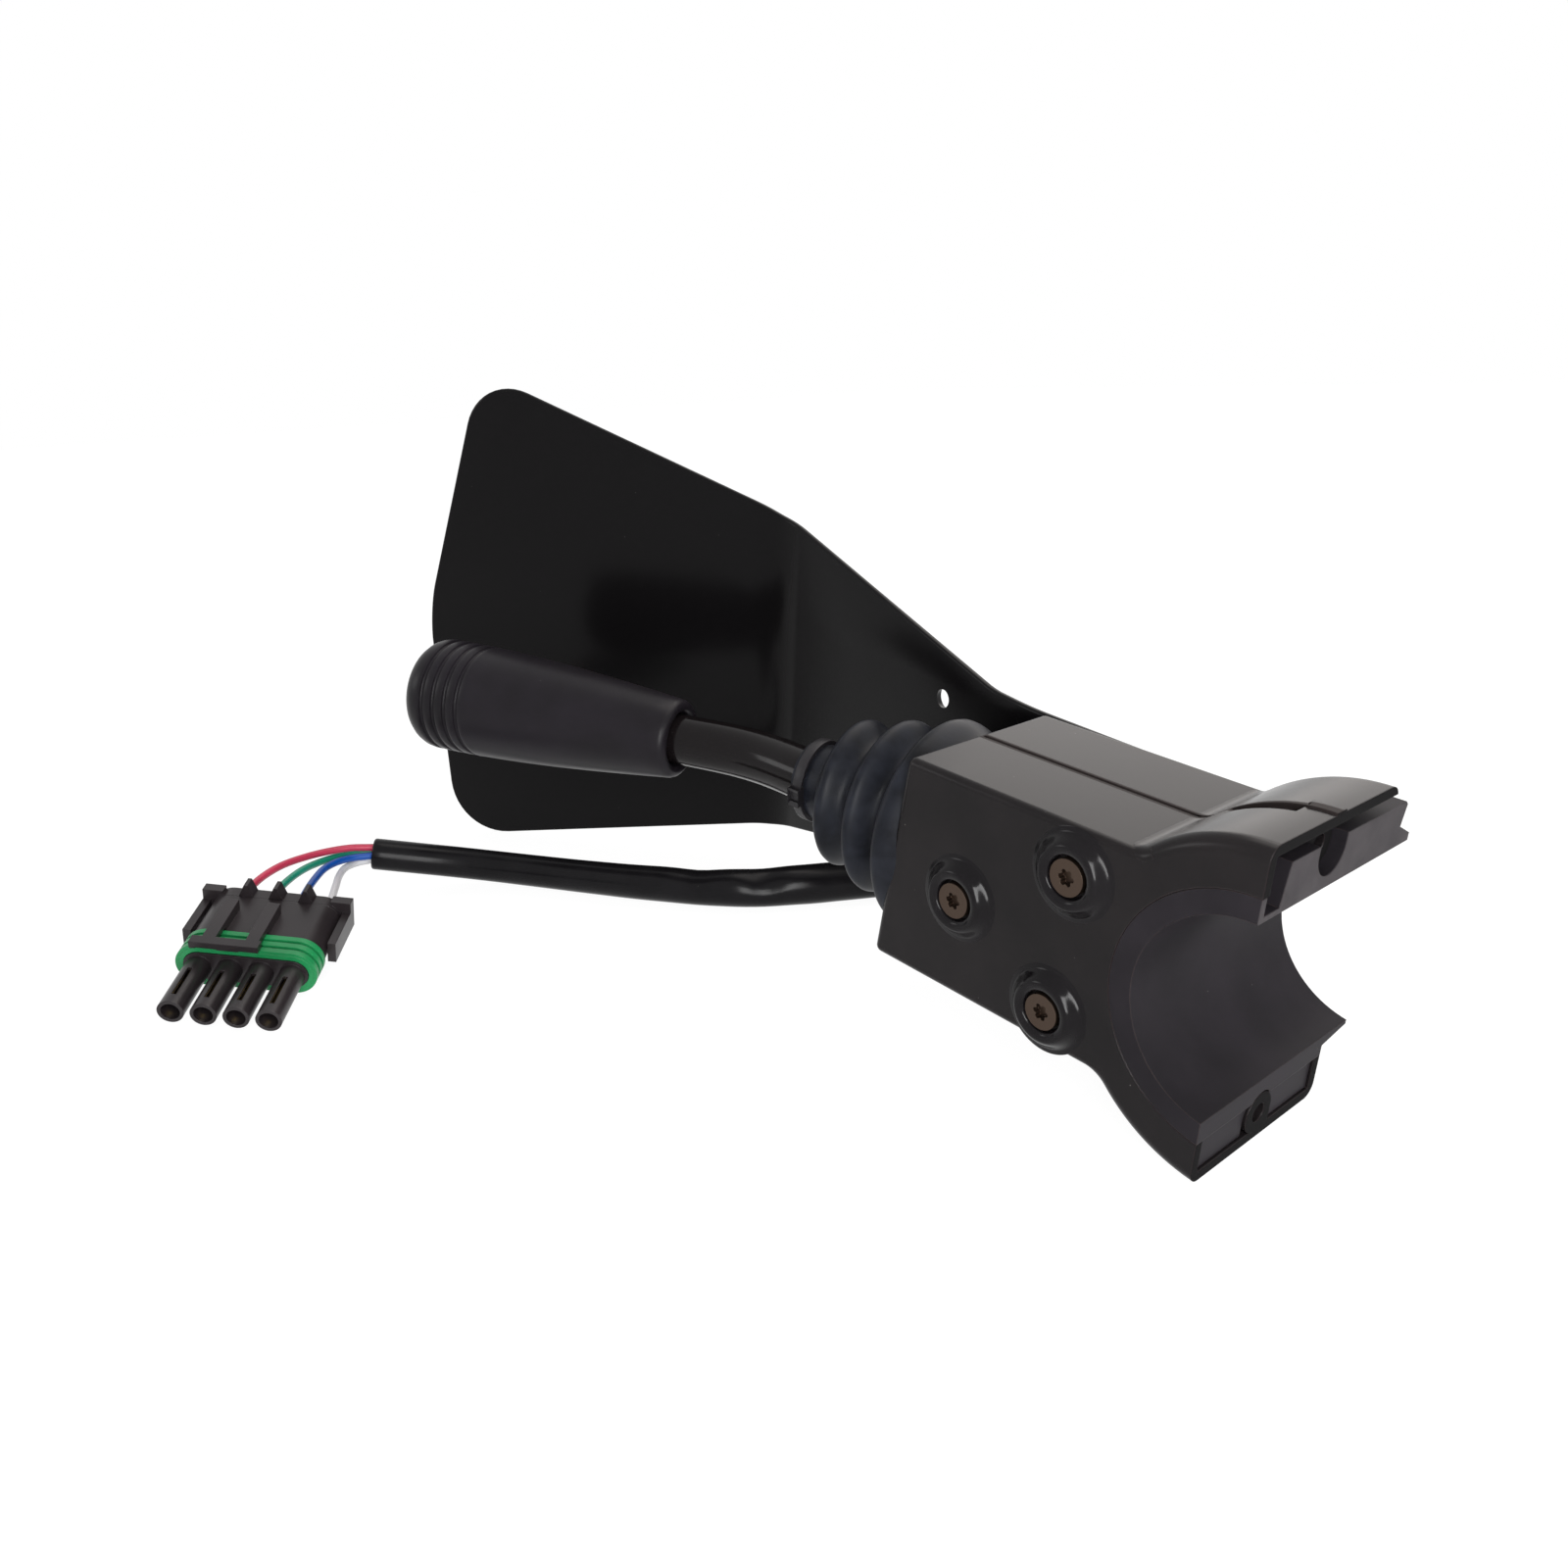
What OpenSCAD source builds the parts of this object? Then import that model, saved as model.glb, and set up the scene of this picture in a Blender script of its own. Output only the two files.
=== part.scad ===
// Column gear selector lever. A two-part case sits on a half-round column saddle and carries a
// booted shift lever, a folded knee guard and a short lead with a four-way sealed connector.
// Everything is built square to the column, which runs along Y, with the lever pointing to -X.
// The finished unit is then tipped about the column axis to the angle at which it lies on a table.

/* [Column saddle] */
// Diameter of the steering column in the saddle
column_d = 45; // [43:0.5:47]
// Thickness of the saddle ring
saddle_t = 5; // [4.6:0.1:5.4]
// Outer radius of the two jaws
jaw_r = 37.4; // [36.8:0.1:39]
// Wall of the hollow jaws
jaw_wall = 2.2; // [1.8:0.1:2.6]
// End plane of the upper jaw, from the column axis
upper_jaw_end = 0.6; // [0:0.1:2]
// End plane of the lower jaw, from the column axis
lower_jaw_end = -3; // [-4:0.1:-2]
// How far the saddle stands out behind the rear shell
saddle_overhang = 9.8; // [8:0.1:12]
// Front flange of the saddle, before the slot beside its block
saddle_flange = 1.5; // [1.2:0.1:1.8]
// Core hole for a clamp screw
clamp_hole_d = 4.5; // [4:0.1:5]
// Distance of the upper clamp screw from the column axis
upper_clamp_z = 30.2; // [29.8:0.1:30.4]
// Distance of the lower clamp screw from the column axis
lower_clamp_z = 31; // [30.4:0.1:31.4]

/* [Case] */
// Depth of the closed case along the column
case_depth = 48; // [47:0.5:52]
// Height of the case
case_h = 51; // [50:0.2:54]
// Height of the middle of the case above the column axis
case_z = 1.5; // [1:0.1:2]
// Distance from the column axis to the top of the lever end
case_len = 85.5; // [84.5:0.5:88]
// How far the foot of the lever end stands out beyond its top
end_slant = 6; // [5:0.2:6.6]
// Wall of the case
wall = 2.6; // [2.2:0.1:3]
// Rounding of the case's outer edges
case_edge_r = 1.8; // [1.4:0.1:2.4]
// Width of the groove along the seam on top of the case
seam_w = 1; // [0.6:0.1:1.4]
// Depth of the groove along the seam
seam_depth = 0.5; // [0.3:0.1:0.8]
// Rounding of the rims of the jaws
edge_r = 3.2; // [2.8:0.1:4]
// Diameter of the opening for the boot
boot_hole_d = 38; // [36:0.5:39]

/* [Case screws] */
// Thread diameter of the case screws
screw_d = 4; // [3.5:0.1:4.5]
// Head diameter of the case screws
screw_head_d = 8; // [7.5:0.1:8.4]
// Head height of the case screws
screw_head_h = 2.6; // [2:0.1:3]
// Foot diameter of the raised screw bosses
boss_d = 19; // [17:0.5:21]
// Height of the raised screw bosses
boss_h = 2.6; // [2:0.1:3.4]
// Distance of the upper screw from the column axis
upper_screw_x = 39; // [38.4:0.1:40]
// Height of the upper screw above the column axis
upper_screw_z = 16.7; // [16:0.1:17.4]
// Distance of the lower screw from the column axis
lower_screw_x = 41; // [40:0.1:42]
// Depth of the lower screw below the column axis
lower_screw_z = 15.2; // [15:0.1:15.6]

/* [Knee guard] */
// Thickness of the guard plate
guard_t = 2; // [1.5:0.1:2.5]
// Height of the pads between the case and the guard
guard_pad_h = 2.4; // [1.5:0.1:3.5]
// Half the height of the guard beside the case
guard_half_h = 26.2; // [25.6:0.1:28]
// How far the guard laps the case from its lever end
guard_lap = 31.5; // [30:0.5:33]
// Distance from the case's lever end to the guard's first fold
guard_reach = 6.5; // [6:0.5:10]
// Angle of the middle panel
mid_panel_angle = 9.4; // [7:0.2:12]
// Length of the middle panel
mid_panel_len = 115; // [110:1:120]
// Half the height of the guard at its outer fold
fan_half_h = 51.5; // [48:0.5:55]
// Angle of the outer panel
fan_angle = -33; // [-36:0.5:-28]
// Hole for hanging or tying, in the middle panel
guard_hole_d = 4.5; // [3:0.1:6]

/* [Lever] */
// Rod diameter
rod_d = 14; // [13:0.1:14.2]
// Lean of the lever towards the wheel
lever_lean = 3.4; // [2:0.1:5]
// Lean of the grip towards the wheel
grip_lean = 24.3; // [20:0.1:28]
// Distance from the lift pin to the bend
bend_at = 76.2; // [75:0.2:79]
// Radius of the bend
bend_r = 60; // [45:1:70]
// Distance from the bend to the grip
grip_start = 22.5; // [21:0.5:25]
// Length of the grip
grip_len = 86; // [80:0.5:92]
// Distance of the last groove from the end of the grip
groove_first = 10; // [9:0.5:12]
// Distance between the grooves
groove_pitch = 4; // [3.6:0.1:4.4]
// Grip diameter at the rod
grip_small_d = 21.8; // [20.5:0.1:23]
// Grip diameter near its end
grip_big_d = 32.7; // [31:0.1:34]

/* [Boot] */
// Wall of the rubber boot
boot_wall = 1.6; // [1.2:0.1:2]
// Crest radius of the base fold
boot_r1 = 26; // [25:0.1:26.6]
// Crest radius of the middle fold
boot_r2 = 21.5; // [20.5:0.1:22.5]
// Crest radius of the end fold
boot_r3 = 18.8; // [18:0.1:19.6]
// Width of the tie
tie_w = 4.6; // [4:0.1:5]

/* [Mechanism] */
// Distance of the selector pivot from the column axis
pivot_x = 67; // [66.8:0.1:67.4]
// Pivot shaft diameter
shaft_d = 8; // [7.4:0.1:8.4]
// Lift pin diameter
lift_pin_d = 5; // [4:0.1:5.4]
// Radius of the detent sector
detent_r = 19.2; // [19:0.1:19.6]
// Turn from neutral to forward or reverse
select_angle = 9; // [8:0.5:10]
// Detent plunger diameter
plunger_d = 4.4; // [4:0.1:4.8]
// Play of a pin or shaft in its hole, on the radius
running_fit = 0.05; // [0.03:0.01:0.08]
// Gap between fixed pieces
seat_gap = 0.1; // [0.05:0.01:0.2]

/* [Lead] */
// Diameter of the black sleeve
sleeve_d = 10; // [9:0.1:10.4]
// Diameter of one wire
wire_d = 2.2; // [1.8:0.1:2.4]
// Pitch of the connector tubes
pin_pitch = 8; // [7.8:0.1:8.2]
// Outer diameter of a connector tube
pin_tube_d = 6.6; // [6.2:0.1:6.8]

/* [Resting place] */
// Tip of the unit about the column where it lies on a table
rest_tilt = 6.55; // [6:0.05:7]

/* [Hidden] */
$fn = 64;

half_d = case_depth / 2;
half_h = case_h / 2;
column_r = column_d / 2;
saddle_r = column_r + saddle_t;
jaw_in_r = jaw_r - jaw_wall;
clamp_boss_r = clamp_hole_d / 2 + 2.5;
inner_y = half_d - wall;
cavity_end = -(saddle_r + wall + 1);
end_rise = case_h - 2 * case_edge_r;
end_tilt = atan(end_slant / end_rise);
end_mid_x = -(case_len - case_edge_r + end_slant * (half_h + case_z - case_edge_r) / end_rise
              + case_edge_r / cos(end_tilt));
jaw_block_x = -19;
upper_boss_x = jaw_block_x + 5.6;
lower_boss_x = jaw_block_x + 6.6;
clamp_skin = 1;
hole_lead = 1;
seam_end_x = -27;
notch_turn = 111.5;
tongue_turn = 10;
jaw_lip = 0.6;
big = 200;

// Case screws: the pair near the jaws, and with the pivot screw
post_places = [[-upper_screw_x, upper_screw_z], [-lower_screw_x, -lower_screw_z]];
screw_places = concat([[-pivot_x, 0]], post_places);
post_r = 5;
recess_r = screw_head_d / 2 + 0.6;
recess_floor = -half_d + 0.4;
screw_len = 22;

// Selector and lift hinge
hub_r = shaft_d / 2 + 3;
hub_half = 9;
bush_flange = 1;
bush_r = shaft_d / 2 + 1.5;
eye_r = lift_pin_d / 2 + 3.3;
lift_d = hub_r + eye_r + 2.7;
lift_x = -pivot_x - lift_d;
ear_in = rod_d / 2 + 0.2;
ear_t = 3.4;
ear_r = lift_pin_d / 2 + 2.5;
ear_half_w = 6;
eye_low = -(ear_in - 0.4);
eye_high = 1.4;
root_at = ear_r + 0.6;
shaft_half = inner_y - 2.4;
bend_turn = grip_lean - lever_lean;
bend_tangent = bend_r * tan(bend_turn / 2);
grip_end = grip_start + grip_len;
grip_socket = grip_len - 22;

// Detent
nose_r = plunger_d / 2;
plunger_rest = detent_r + 0.4;
plunger_travel = 1;
plunger_len = 9;
notch_r = nose_r + 0.3;
notch_at = plunger_rest - plunger_travel + nose_r;
arm_low = -4.5;
arm_high = 7;
guide_half = 5.5;
guide_front = -pivot_x + plunger_rest + 1.9;
guide_floor = -pivot_x + plunger_rest + plunger_len + 5.2;

// Sensor board
board_y = arm_high + 5;
board_t = 1.6;
board_left = -58.8;
board_right = -36;
board_half_h = 9.8;
board_screw_x = -56.1;
board_screw_z = 7.3;
magnet_at = 14.6;
gland_x = -42.5;
header_depth = 4;
lead_offset = 1.35;

// Cable gland
gland_hole_r = 6.5;
gland_flange_r = 8.6;
gland_inner_y = inner_y - 2;
gland_nose_y = half_d + 18;
sleeve_start_y = half_d + 2;

// Guard
guard_mid_y = half_d + guard_pad_h + guard_t / 2;
guard_start_x = case_len - guard_lap;
guard_fold_x = case_len + guard_reach;
guard_pair_x = -guard_start_x - 8;
guard_pair_z = guard_half_h - 9.2;
guard_screw_places = [[guard_pair_x, guard_pair_z], [guard_pair_x, -guard_pair_z], [5.5 - case_len, 0]];
guard_screw_len = 9;
guard_flare = 14;
guard_hole_u = 32.9;
guard_hole_z = 18;
fold_lap = 0.5;
fan_start_h = fan_half_h - 0.3;
fan_outline = [[-fold_lap, fan_start_h], [99.3, 87], [122.8, 8], [118.2, -73.7], [-fold_lap, -fan_start_h]];
fan_radii = [0, 16, 100, 18, 0];

// Boot: distance along the lever from the lift pin, and outer radius, at each crest and valley
boot_folds = [[-2, boot_r1 - 5], [14, boot_r1], [21.5, boot_r2 - 4], [28.5, boot_r2], [34, boot_r3 - 3.4],
              [39, boot_r3]];
boot_neck_r = rod_d / 2 + 2.6;
boot_neck_at = 46;
boot_end_at = 57;
tie_at = 52;
boot_base_at = 11;
boot_seat = 0.05;

// Connector: local x along the row of tubes, y from the mouths to the wires, z up
connector_at = [-213.7, -136.5, -31.2];
connector_turn = 48.5;
connector_pitch = 11;
connector_roll = 10;
tube_len = 19;
seal_len = 8.6;
shell_back = 44;
lock_back = 48;
core_half_w = 1.5 * pin_pitch + 4;
core_half_h = 4.2;

// Lead routes, as the lead lies on the table
sleeve_route = [[-42.2, 26, 4.8], [-42.2, 34, 4.8], [-42.2, 44, 4.7], [-43, 54, 2.7], [-46, 64, -2.5],
                [-52, 73, -9.5], [-62, 80, -17.5], [-75, 84, -24.8], [-90, 84, -30], [-106, 80, -31.3],
                [-121, 73, -31.4], [-135, 63, -31.4], [-146.5, 51.5, -31.4], [-155.5, 39, -31.4],
                [-162, 29, -31.4], [-168, 19.5, -31.4], [-180, 5, -31.4], [-202, -9.5, -31.4],
                [-223, -20.7, -31], [-241, -31, -30.3], [-251.5, -38.7, -29.3], [-260.7, -48.4, -27.3],
                [-272.7, -67, -22.5]];
wire_red_route = [[-272.5, -66.5, -20.5], [-275, -73, -19.5], [-276, -80, -19], [-275, -87.5, -18.5],
                  [-272, -95.5, -18], [-267, -103.5, -18.2], [-260.2, -111.1, -19.1], [-255.8, -115, -20.2]];
wire_green_route = [[-274.4, -66, -22.5], [-276.5, -72, -22], [-276, -78.5, -21.5], [-273, -85.5, -20.8],
                    [-268, -92, -20], [-262, -98.7, -19.9], [-255.2, -105.1, -20.4], [-250.8, -109, -21.5]];
wire_blue_route = [[-271, -68, -22.5], [-272.5, -73.5, -22], [-271.5, -79, -21.5], [-268, -84.5, -21.2],
                   [-262.5, -89.5, -21.2], [-256.5, -94.2, -21.3], [-250.1, -99, -21.8], [-245.7, -102.9, -22.9]];
wire_white_route = [[-273, -67.5, -24.5], [-274, -72.5, -24.5], [-271.5, -77, -24.2], [-266, -81.2, -24],
                    [-259.5, -84.8, -23.6], [-252.5, -88.6, -23.2], [-245.1, -92.9, -23.2], [-240.7, -96.8, -24.3]];

// Fillet at q between p and s, as points of an arc
function unit(v) = v / norm(v);
function corner_arc(p, q, s, r, n) =
    let (u = unit(p - q), w = unit(s - q), half = acos(u * w) / 2,
         c = q + unit(u + w) * r / sin(half), a = q + u * r / tan(half) - c, b = q + w * r / tan(half) - c,
         a0 = atan2(a[1], a[0]), turn = (atan2(b[1], b[0]) - a0 + 540) % 360 - 180)
    [for (i = [0:n]) c + r * [cos(a0 + turn * i / n), sin(a0 + turn * i / n)]];
function rounded(pts, radii, n = 10) =
    [for (i = [0:len(pts) - 1])
        each radii[i] == 0 ? [pts[i]]
            : corner_arc(pts[(i + len(pts) - 1) % len(pts)], pts[i], pts[(i + 1) % len(pts)], radii[i], n)];

// Smooth wave through a list of crests and valleys
function wave(knots, n) =
    [for (i = [0:len(knots) - 2], j = [0:n])
        if (j < n || i == len(knots) - 2)
            let (t = j / n, e = (1 - cos(180 * t)) / 2)
            [knots[i][0] + t * (knots[i + 1][0] - knots[i][0]),
             knots[i][1] + e * (knots[i + 1][1] - knots[i][1])]];
function reversed(list) = [for (i = [len(list) - 1:-1:0]) list[i]];

// Round tube swept along a list of points
module swept_tube(path, r, sides, up = [0, 0, 1]) {
    last = len(path) - 1;
    rings = [for (i = [0:last])
        let (d = unit(path[min(i + 1, last)] - path[max(i - 1, 0)]), e = unit(cross(d, up)), g = cross(e, d))
        [for (k = [0:sides - 1]) path[i] + r * (cos(360 * k / sides) * e + sin(360 * k / sides) * g)]];
    points = [for (ring = rings) each ring];
    skin = [for (i = [0:last - 1], k = [0:sides - 1])
        [i * sides + k, (i + 1) * sides + k, (i + 1) * sides + (k + 1) % sides, i * sides + (k + 1) % sides]];
    polyhedron(points, concat(skin, [[for (k = [0:sides - 1]) k]],
                              [[for (k = [sides - 1:-1:0]) last * sides + k]]));
}

// Coil spring along Z from z = 0
module coil(r, wire_r, pitch, turns, steps = 12) {
    swept_tube([for (i = [0:turns * steps])
        [r * cos(360 * i / steps), r * sin(360 * i / steps), wire_r + pitch * i / steps]], wire_r, 6);
}

// Frames
module tipped() rotate([0, rest_tilt, 0]) children();
module along_x(p) translate(p) rotate([0, 90, 0]) children();
module along_y(p) translate(p) rotate([-90, 0, 0]) children();
module on_end_face() translate([end_mid_x, 0, 0]) rotate([0, end_tilt, 0]) rotate([0, -90, 0]) children();
module lever_frame() translate([lift_x, 0, 0]) rotate([0, 0, 180 + lever_lean]) children();
module grip_frame() lever_frame() translate([bend_at, 0, 0]) rotate([0, 0, bend_turn]) children();
module connector_frame()
    translate(connector_at) rotate([0, 0, connector_turn]) rotate([connector_pitch, 0, 0])
    rotate([0, connector_roll, 0]) children();
module front_half() translate([-big, -big, -big]) cube([2 * big, big, 2 * big]);
module rear_half() translate([-big, 0, -big]) cube([2 * big, big, 2 * big]);

// Rounded box whose lever end slants, drawn in from the case's faces by an inset
module case_box(inset, r, right_x) {
    hull()
        for (y = [-1, 1], top = [-1, 1]) {
            z = case_z + top * (half_h - inset - r);
            left_x = -case_len - (1 - top) / 2 * end_slant + inset + r;
            translate([left_x, y * (half_d - inset - r), z]) sphere(r, $fn = 24);
            translate([right_x - r, y * (half_d - inset - r), z]) sphere(r, $fn = 24);
        }
}

// Disc of the two jaws about the column, with rounded rims
module jaw_disc() {
    rotate([90, 0, 0]) rotate_extrude($fn = 128) {
        translate([0, -half_d]) square([jaw_r - edge_r, case_depth]);
        translate([0, -half_d + edge_r]) square([jaw_r, case_depth - 2 * edge_r]);
        for (y = [-1, 1]) translate([jaw_r - edge_r, y * (half_d - edge_r)]) circle(edge_r);
    }
}

// Everything past the end planes of the two jaws
module past_jaws() {
    translate([upper_jaw_end, -big, 0]) cube([big, 2 * big, big]);
    translate([lower_jaw_end, -big, -big]) cube([big, 2 * big, big]);
}

// Hollow of the jaws: open behind in the upper jaw, walled behind in the lower one
module jaw_hollow() {
    depth = half_d - jaw_wall;
    difference() {
        intersection() {
            along_y([0, -half_d, 0]) cylinder(r = jaw_in_r, h = 2 * case_depth, $fn = 128);
            union() {
                translate([jaw_block_x - 0.3, -depth, 0]) cube([big, depth + big, big]);
                translate([jaw_block_x - 0.3, -depth, -big]) cube([big, 2 * depth, big]);
            }
        }
        along_y([0, -big, 0]) cylinder(r = saddle_r, h = 2 * big, $fn = 128);
    }
}

module case_form() {
    difference() {
        union() {
            case_box(0, case_edge_r, -10);
            jaw_disc();
        }
        case_box(wall, 0.8, cavity_end);
        jaw_hollow();
        along_y([0, -big, 0]) cylinder(r = saddle_r + seat_gap / 2, h = 2 * big, $fn = 128);
        past_jaws();
        on_end_face() translate([0, 0, -wall - 6]) cylinder(d = boot_hole_d, h = 20);
        translate([-case_len + case_edge_r, -seam_w / 2, case_z + half_h - seam_depth])
            cube([case_len - case_edge_r + seam_end_x, seam_w, 2]);
    }
}

// Raised ring round a case screw, rising in an S from the face and falling into the head's recess
module screw_boss() {
    foot = boss_d / 2;
    crest = recess_r + 1.7;
    steps = 8;
    rotate_extrude()
        polygon(concat([[recess_r - 1, -1], [foot, -1]],
            [for (i = [0:steps]) [foot - (foot - crest) * i / steps, boss_h * (1 - cos(180 * i / steps)) / 2]],
            [for (i = [1:steps]) [crest - (crest - recess_r) * sin(90 * i / steps),
                                  boss_h - 1.1 * (1 - cos(90 * i / steps))]],
            [[recess_r, 0.2], [recess_r - 1, 0.2]]));
}

// Lens-shaped gap at the seam on top of the upper jaw
module seam_notch() {
    r = 20;
    at = jaw_r + r - jaw_wall - 0.4;
    along_y([at * cos(notch_turn), -4.4, at * sin(notch_turn)]) cylinder(r = r, h = 4.8);
}

// Tongue of the front shell, lapped over the rear shell beside the end of the upper jaw
module lap_tongue() {
    start = acos(upper_jaw_end / jaw_r) + 0.1;
    rotate([90, 0, 0]) rotate([0, 0, start]) rotate_extrude(angle = tongue_turn, $fn = 128) {
        translate([jaw_r - 1, 0.2]) square([1.4, 0.9]);
        translate([jaw_r + 0.06, -2.4]) square([0.34, 3]);
    }
}

// Front shell: face, jaws' front halves, raised screw bosses and the front bearing of the pivot shaft
module front_shell() {
    color("#2b292b")
    difference() {
        union() {
            intersection() {
                case_form();
                front_half();
            }
            for (p = screw_places) translate([p[0], -half_d, p[1]]) rotate([90, 0, 0]) screw_boss();
            for (p = post_places) along_y([p[0], -inner_y - 1, p[1]]) cylinder(r = post_r, h = inner_y + 1);
            along_y([-pivot_x, -inner_y - 1, 0])
                cylinder(r = hub_r, h = inner_y + 1 - hub_half - bush_flange - 0.4);
            lap_tongue();
        }
        seam_notch();
        clamp_room(upper_clamp_z, upper_boss_x);
        clamp_room(-lower_clamp_z, lower_boss_x);
        for (p = screw_places) {
            along_y([p[0], -half_d - boss_h - 1, p[1]])
                cylinder(r = recess_r, h = boss_h + 1 + half_d + recess_floor);
            along_y([p[0], -half_d, p[1]]) cylinder(d = screw_d + 0.5, h = half_d + 1);
        }
        along_y([-pivot_x, -shaft_half - seat_gap, 0]) cylinder(r = shaft_d / 2 + seat_gap, h = half_d);
    }
}

// Rear shell: screw posts, guard pads, clamp screw bosses, detent guide and the gland hole
module rear_shell() {
    color("#262426")
    difference() {
        union() {
            intersection() {
                case_form();
                rear_half();
            }
            for (p = post_places) along_y([p[0], 0, p[1]]) cylinder(r = post_r, h = inner_y + 1);
            along_y([-pivot_x, hub_half + bush_flange + 0.4, 0])
                cylinder(r = hub_r, h = inner_y + 1 - hub_half - bush_flange - 0.4);
            for (p = guard_screw_places) along_y([p[0], inner_y - 6, p[1]])
                cylinder(r = 4.5, h = wall + 6 + guard_pad_h);
            for (z = [-1, 1]) along_y([board_screw_x, board_y + board_t, z * board_screw_z])
                cylinder(r = 2.6, h = inner_y + 1 - board_y - board_t);
            translate([guide_front, -guide_half, -guide_half])
                cube([cavity_end - 0.3 - guide_front, 2 * guide_half, 2 * guide_half]);
            translate([cavity_end - 1, 0.2, -guide_half]) cube([2, guide_half - 0.2, 2 * guide_half]);
            clamp_boss(upper_clamp_z, upper_boss_x, upper_jaw_end - 3);
            mirror([0, 0, 1]) clamp_boss(lower_clamp_z, lower_boss_x, lower_jaw_end);
        }
        for (p = post_places) along_y([p[0], -1, p[1]]) cylinder(d = screw_d + 2 * seat_gap, h = 20);
        for (z = [-1, 1]) along_y([board_screw_x, board_y, z * board_screw_z]) cylinder(r = 1.1, h = 8);
        along_x([upper_boss_x - hole_lead, 0, upper_clamp_z]) cylinder(d = clamp_hole_d, h = 40);
        along_x([lower_boss_x - hole_lead, 0, -lower_clamp_z]) cylinder(d = clamp_hole_d, h = 40);
        along_y([-pivot_x, 0, 0]) cylinder(r = shaft_d / 2 + seat_gap, h = shaft_half + seat_gap);
        for (p = guard_screw_places) along_y([p[0], inner_y - 4, p[1]])
            cylinder(d = screw_d + 2 * seat_gap, h = 20);
        along_x([guide_front - 1, 0, 0]) cylinder(r = nose_r + running_fit, h = guide_floor - guide_front + 1);
        along_y([gland_x, 0, 0]) cylinder(r = gland_hole_r, h = big);
    }
}

// Boss of one clamp screw with its web to the outer wall of the jaw
module clamp_boss(z, start_x, end_x) {
    depth = end_x - start_x;
    intersection() {
        union() {
            along_x([start_x, 0, z]) cylinder(r = clamp_boss_r, h = depth);
            translate([start_x, 0.2, z]) cube([depth, clamp_boss_r - 0.2, 10]);
        }
        along_y([0, -big, 0]) cylinder(r = jaw_r - clamp_skin - seat_gap, h = 2 * big, $fn = 128);
    }
}

// Room in the front shell for a clamp screw boss, under a skin of the jaw's outer wall
module clamp_room(z, start_x) {
    intersection() {
        along_x([start_x - hole_lead - 2 * seat_gap, 0, z]) cylinder(r = clamp_boss_r + seat_gap, h = 40);
        along_y([0, -big, 0]) cylinder(r = jaw_r - clamp_skin, h = 2 * big, $fn = 128);
    }
}

// Saddle: half-round ring on the column with a sloped block in the upper jaw and a pad in the lower one
module column_saddle() {
    rear_y = half_d + saddle_overhang;
    front_y = -half_d + jaw_wall + 0.3;
    block_top = jaw_in_r - 2.9;
    block_front = front_y + 4.5;
    block_rear = rear_y - 4;
    slot_floor = column_r + 1.1;
    channel_r = clamp_boss_r + 0.5;
    color("#4a474a")
    difference() {
        union() {
            along_y([0, -half_d, 0]) cylinder(r = saddle_r - seat_gap / 2, h = case_depth, $fn = 128);
            along_y([0, half_d - 0.5, 0])
                cylinder(r1 = column_r + 2.6, r2 = column_r + 1, h = saddle_overhang + 0.5, $fn = 128);
            intersection() {
                along_y([0, -half_d, 0]) cylinder(r = jaw_in_r - 0.3, h = rear_y + half_d, $fn = 128);
                translate([jaw_block_x, 0, 0]) rotate([90, 0, 90]) linear_extrude(40)
                    polygon([[block_front - 1, 0], [block_front - 1, block_top], [block_rear - 0.8, block_top],
                             [block_rear, block_top - 0.8], [block_rear - 1.2, column_r + 4.4],
                             [rear_y, column_r + 1.7], [rear_y, 0]]);
            }
            intersection() {
                along_y([0, -half_d, 0]) cylinder(r = jaw_in_r - 0.3, h = case_depth, $fn = 128);
                translate([jaw_block_x, front_y, -big])
                    cube([lower_jaw_end - jaw_lip - jaw_block_x, -2 * front_y, big]);
            }
        }
        along_y([0, -big, 0]) cylinder(r = column_r, h = 2 * big, $fn = 128);
        past_jaws();
        translate([jaw_block_x + 7, 0, 0]) rotate([90, 0, 90]) linear_extrude(40)
            polygon([[-half_d + saddle_flange, slot_floor], [block_front, slot_floor],
                     [block_front + 1.5, block_top - 0.8], [block_front + 2.6, jaw_r],
                     [-half_d + saddle_flange, jaw_r]]);
        clamp_channel(upper_clamp_z, channel_r);
        mirror([0, 0, 1]) clamp_channel(lower_clamp_z, channel_r);
    }
}

// Half-round channel, open outwards, that clears a clamp screw boss
module clamp_channel(z, r) {
    along_x([jaw_block_x - 2, 0, z]) cylinder(r = r, h = 40);
    translate([jaw_block_x - 2, -r, z]) cube([40, 2 * r, 20]);
}

// Screw with a flat cheese head and a six-lobe socket, head down to -Z, tip to +Z
module case_screw(len) {
    difference() {
        union() {
            translate([0, 0, -screw_head_h]) cylinder(d = screw_head_d, h = screw_head_h);
            cylinder(d = screw_d, h = len);
        }
        translate([0, 0, -screw_head_h - 0.1]) linear_extrude(1.7) {
            circle(d = 2.8);
            for (a = [0:60:300]) rotate(a) translate([1.35, 0]) circle(d = 1.1, $fn = 16);
        }
    }
}

module shell_screws() {
    color("#6b5a4a")
    for (p = screw_places)
        along_y([p[0], recess_floor, p[1]]) case_screw(p[1] == 0 ? 14 : screw_len + 14);
}

// One flat panel of the guard, from a fold line, turned about Z
module guard_panel(p, angle) {
    translate(p) rotate([0, 0, 180 - angle]) rotate([90, 0, 0])
        linear_extrude(guard_t, center = true) children();
}

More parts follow.
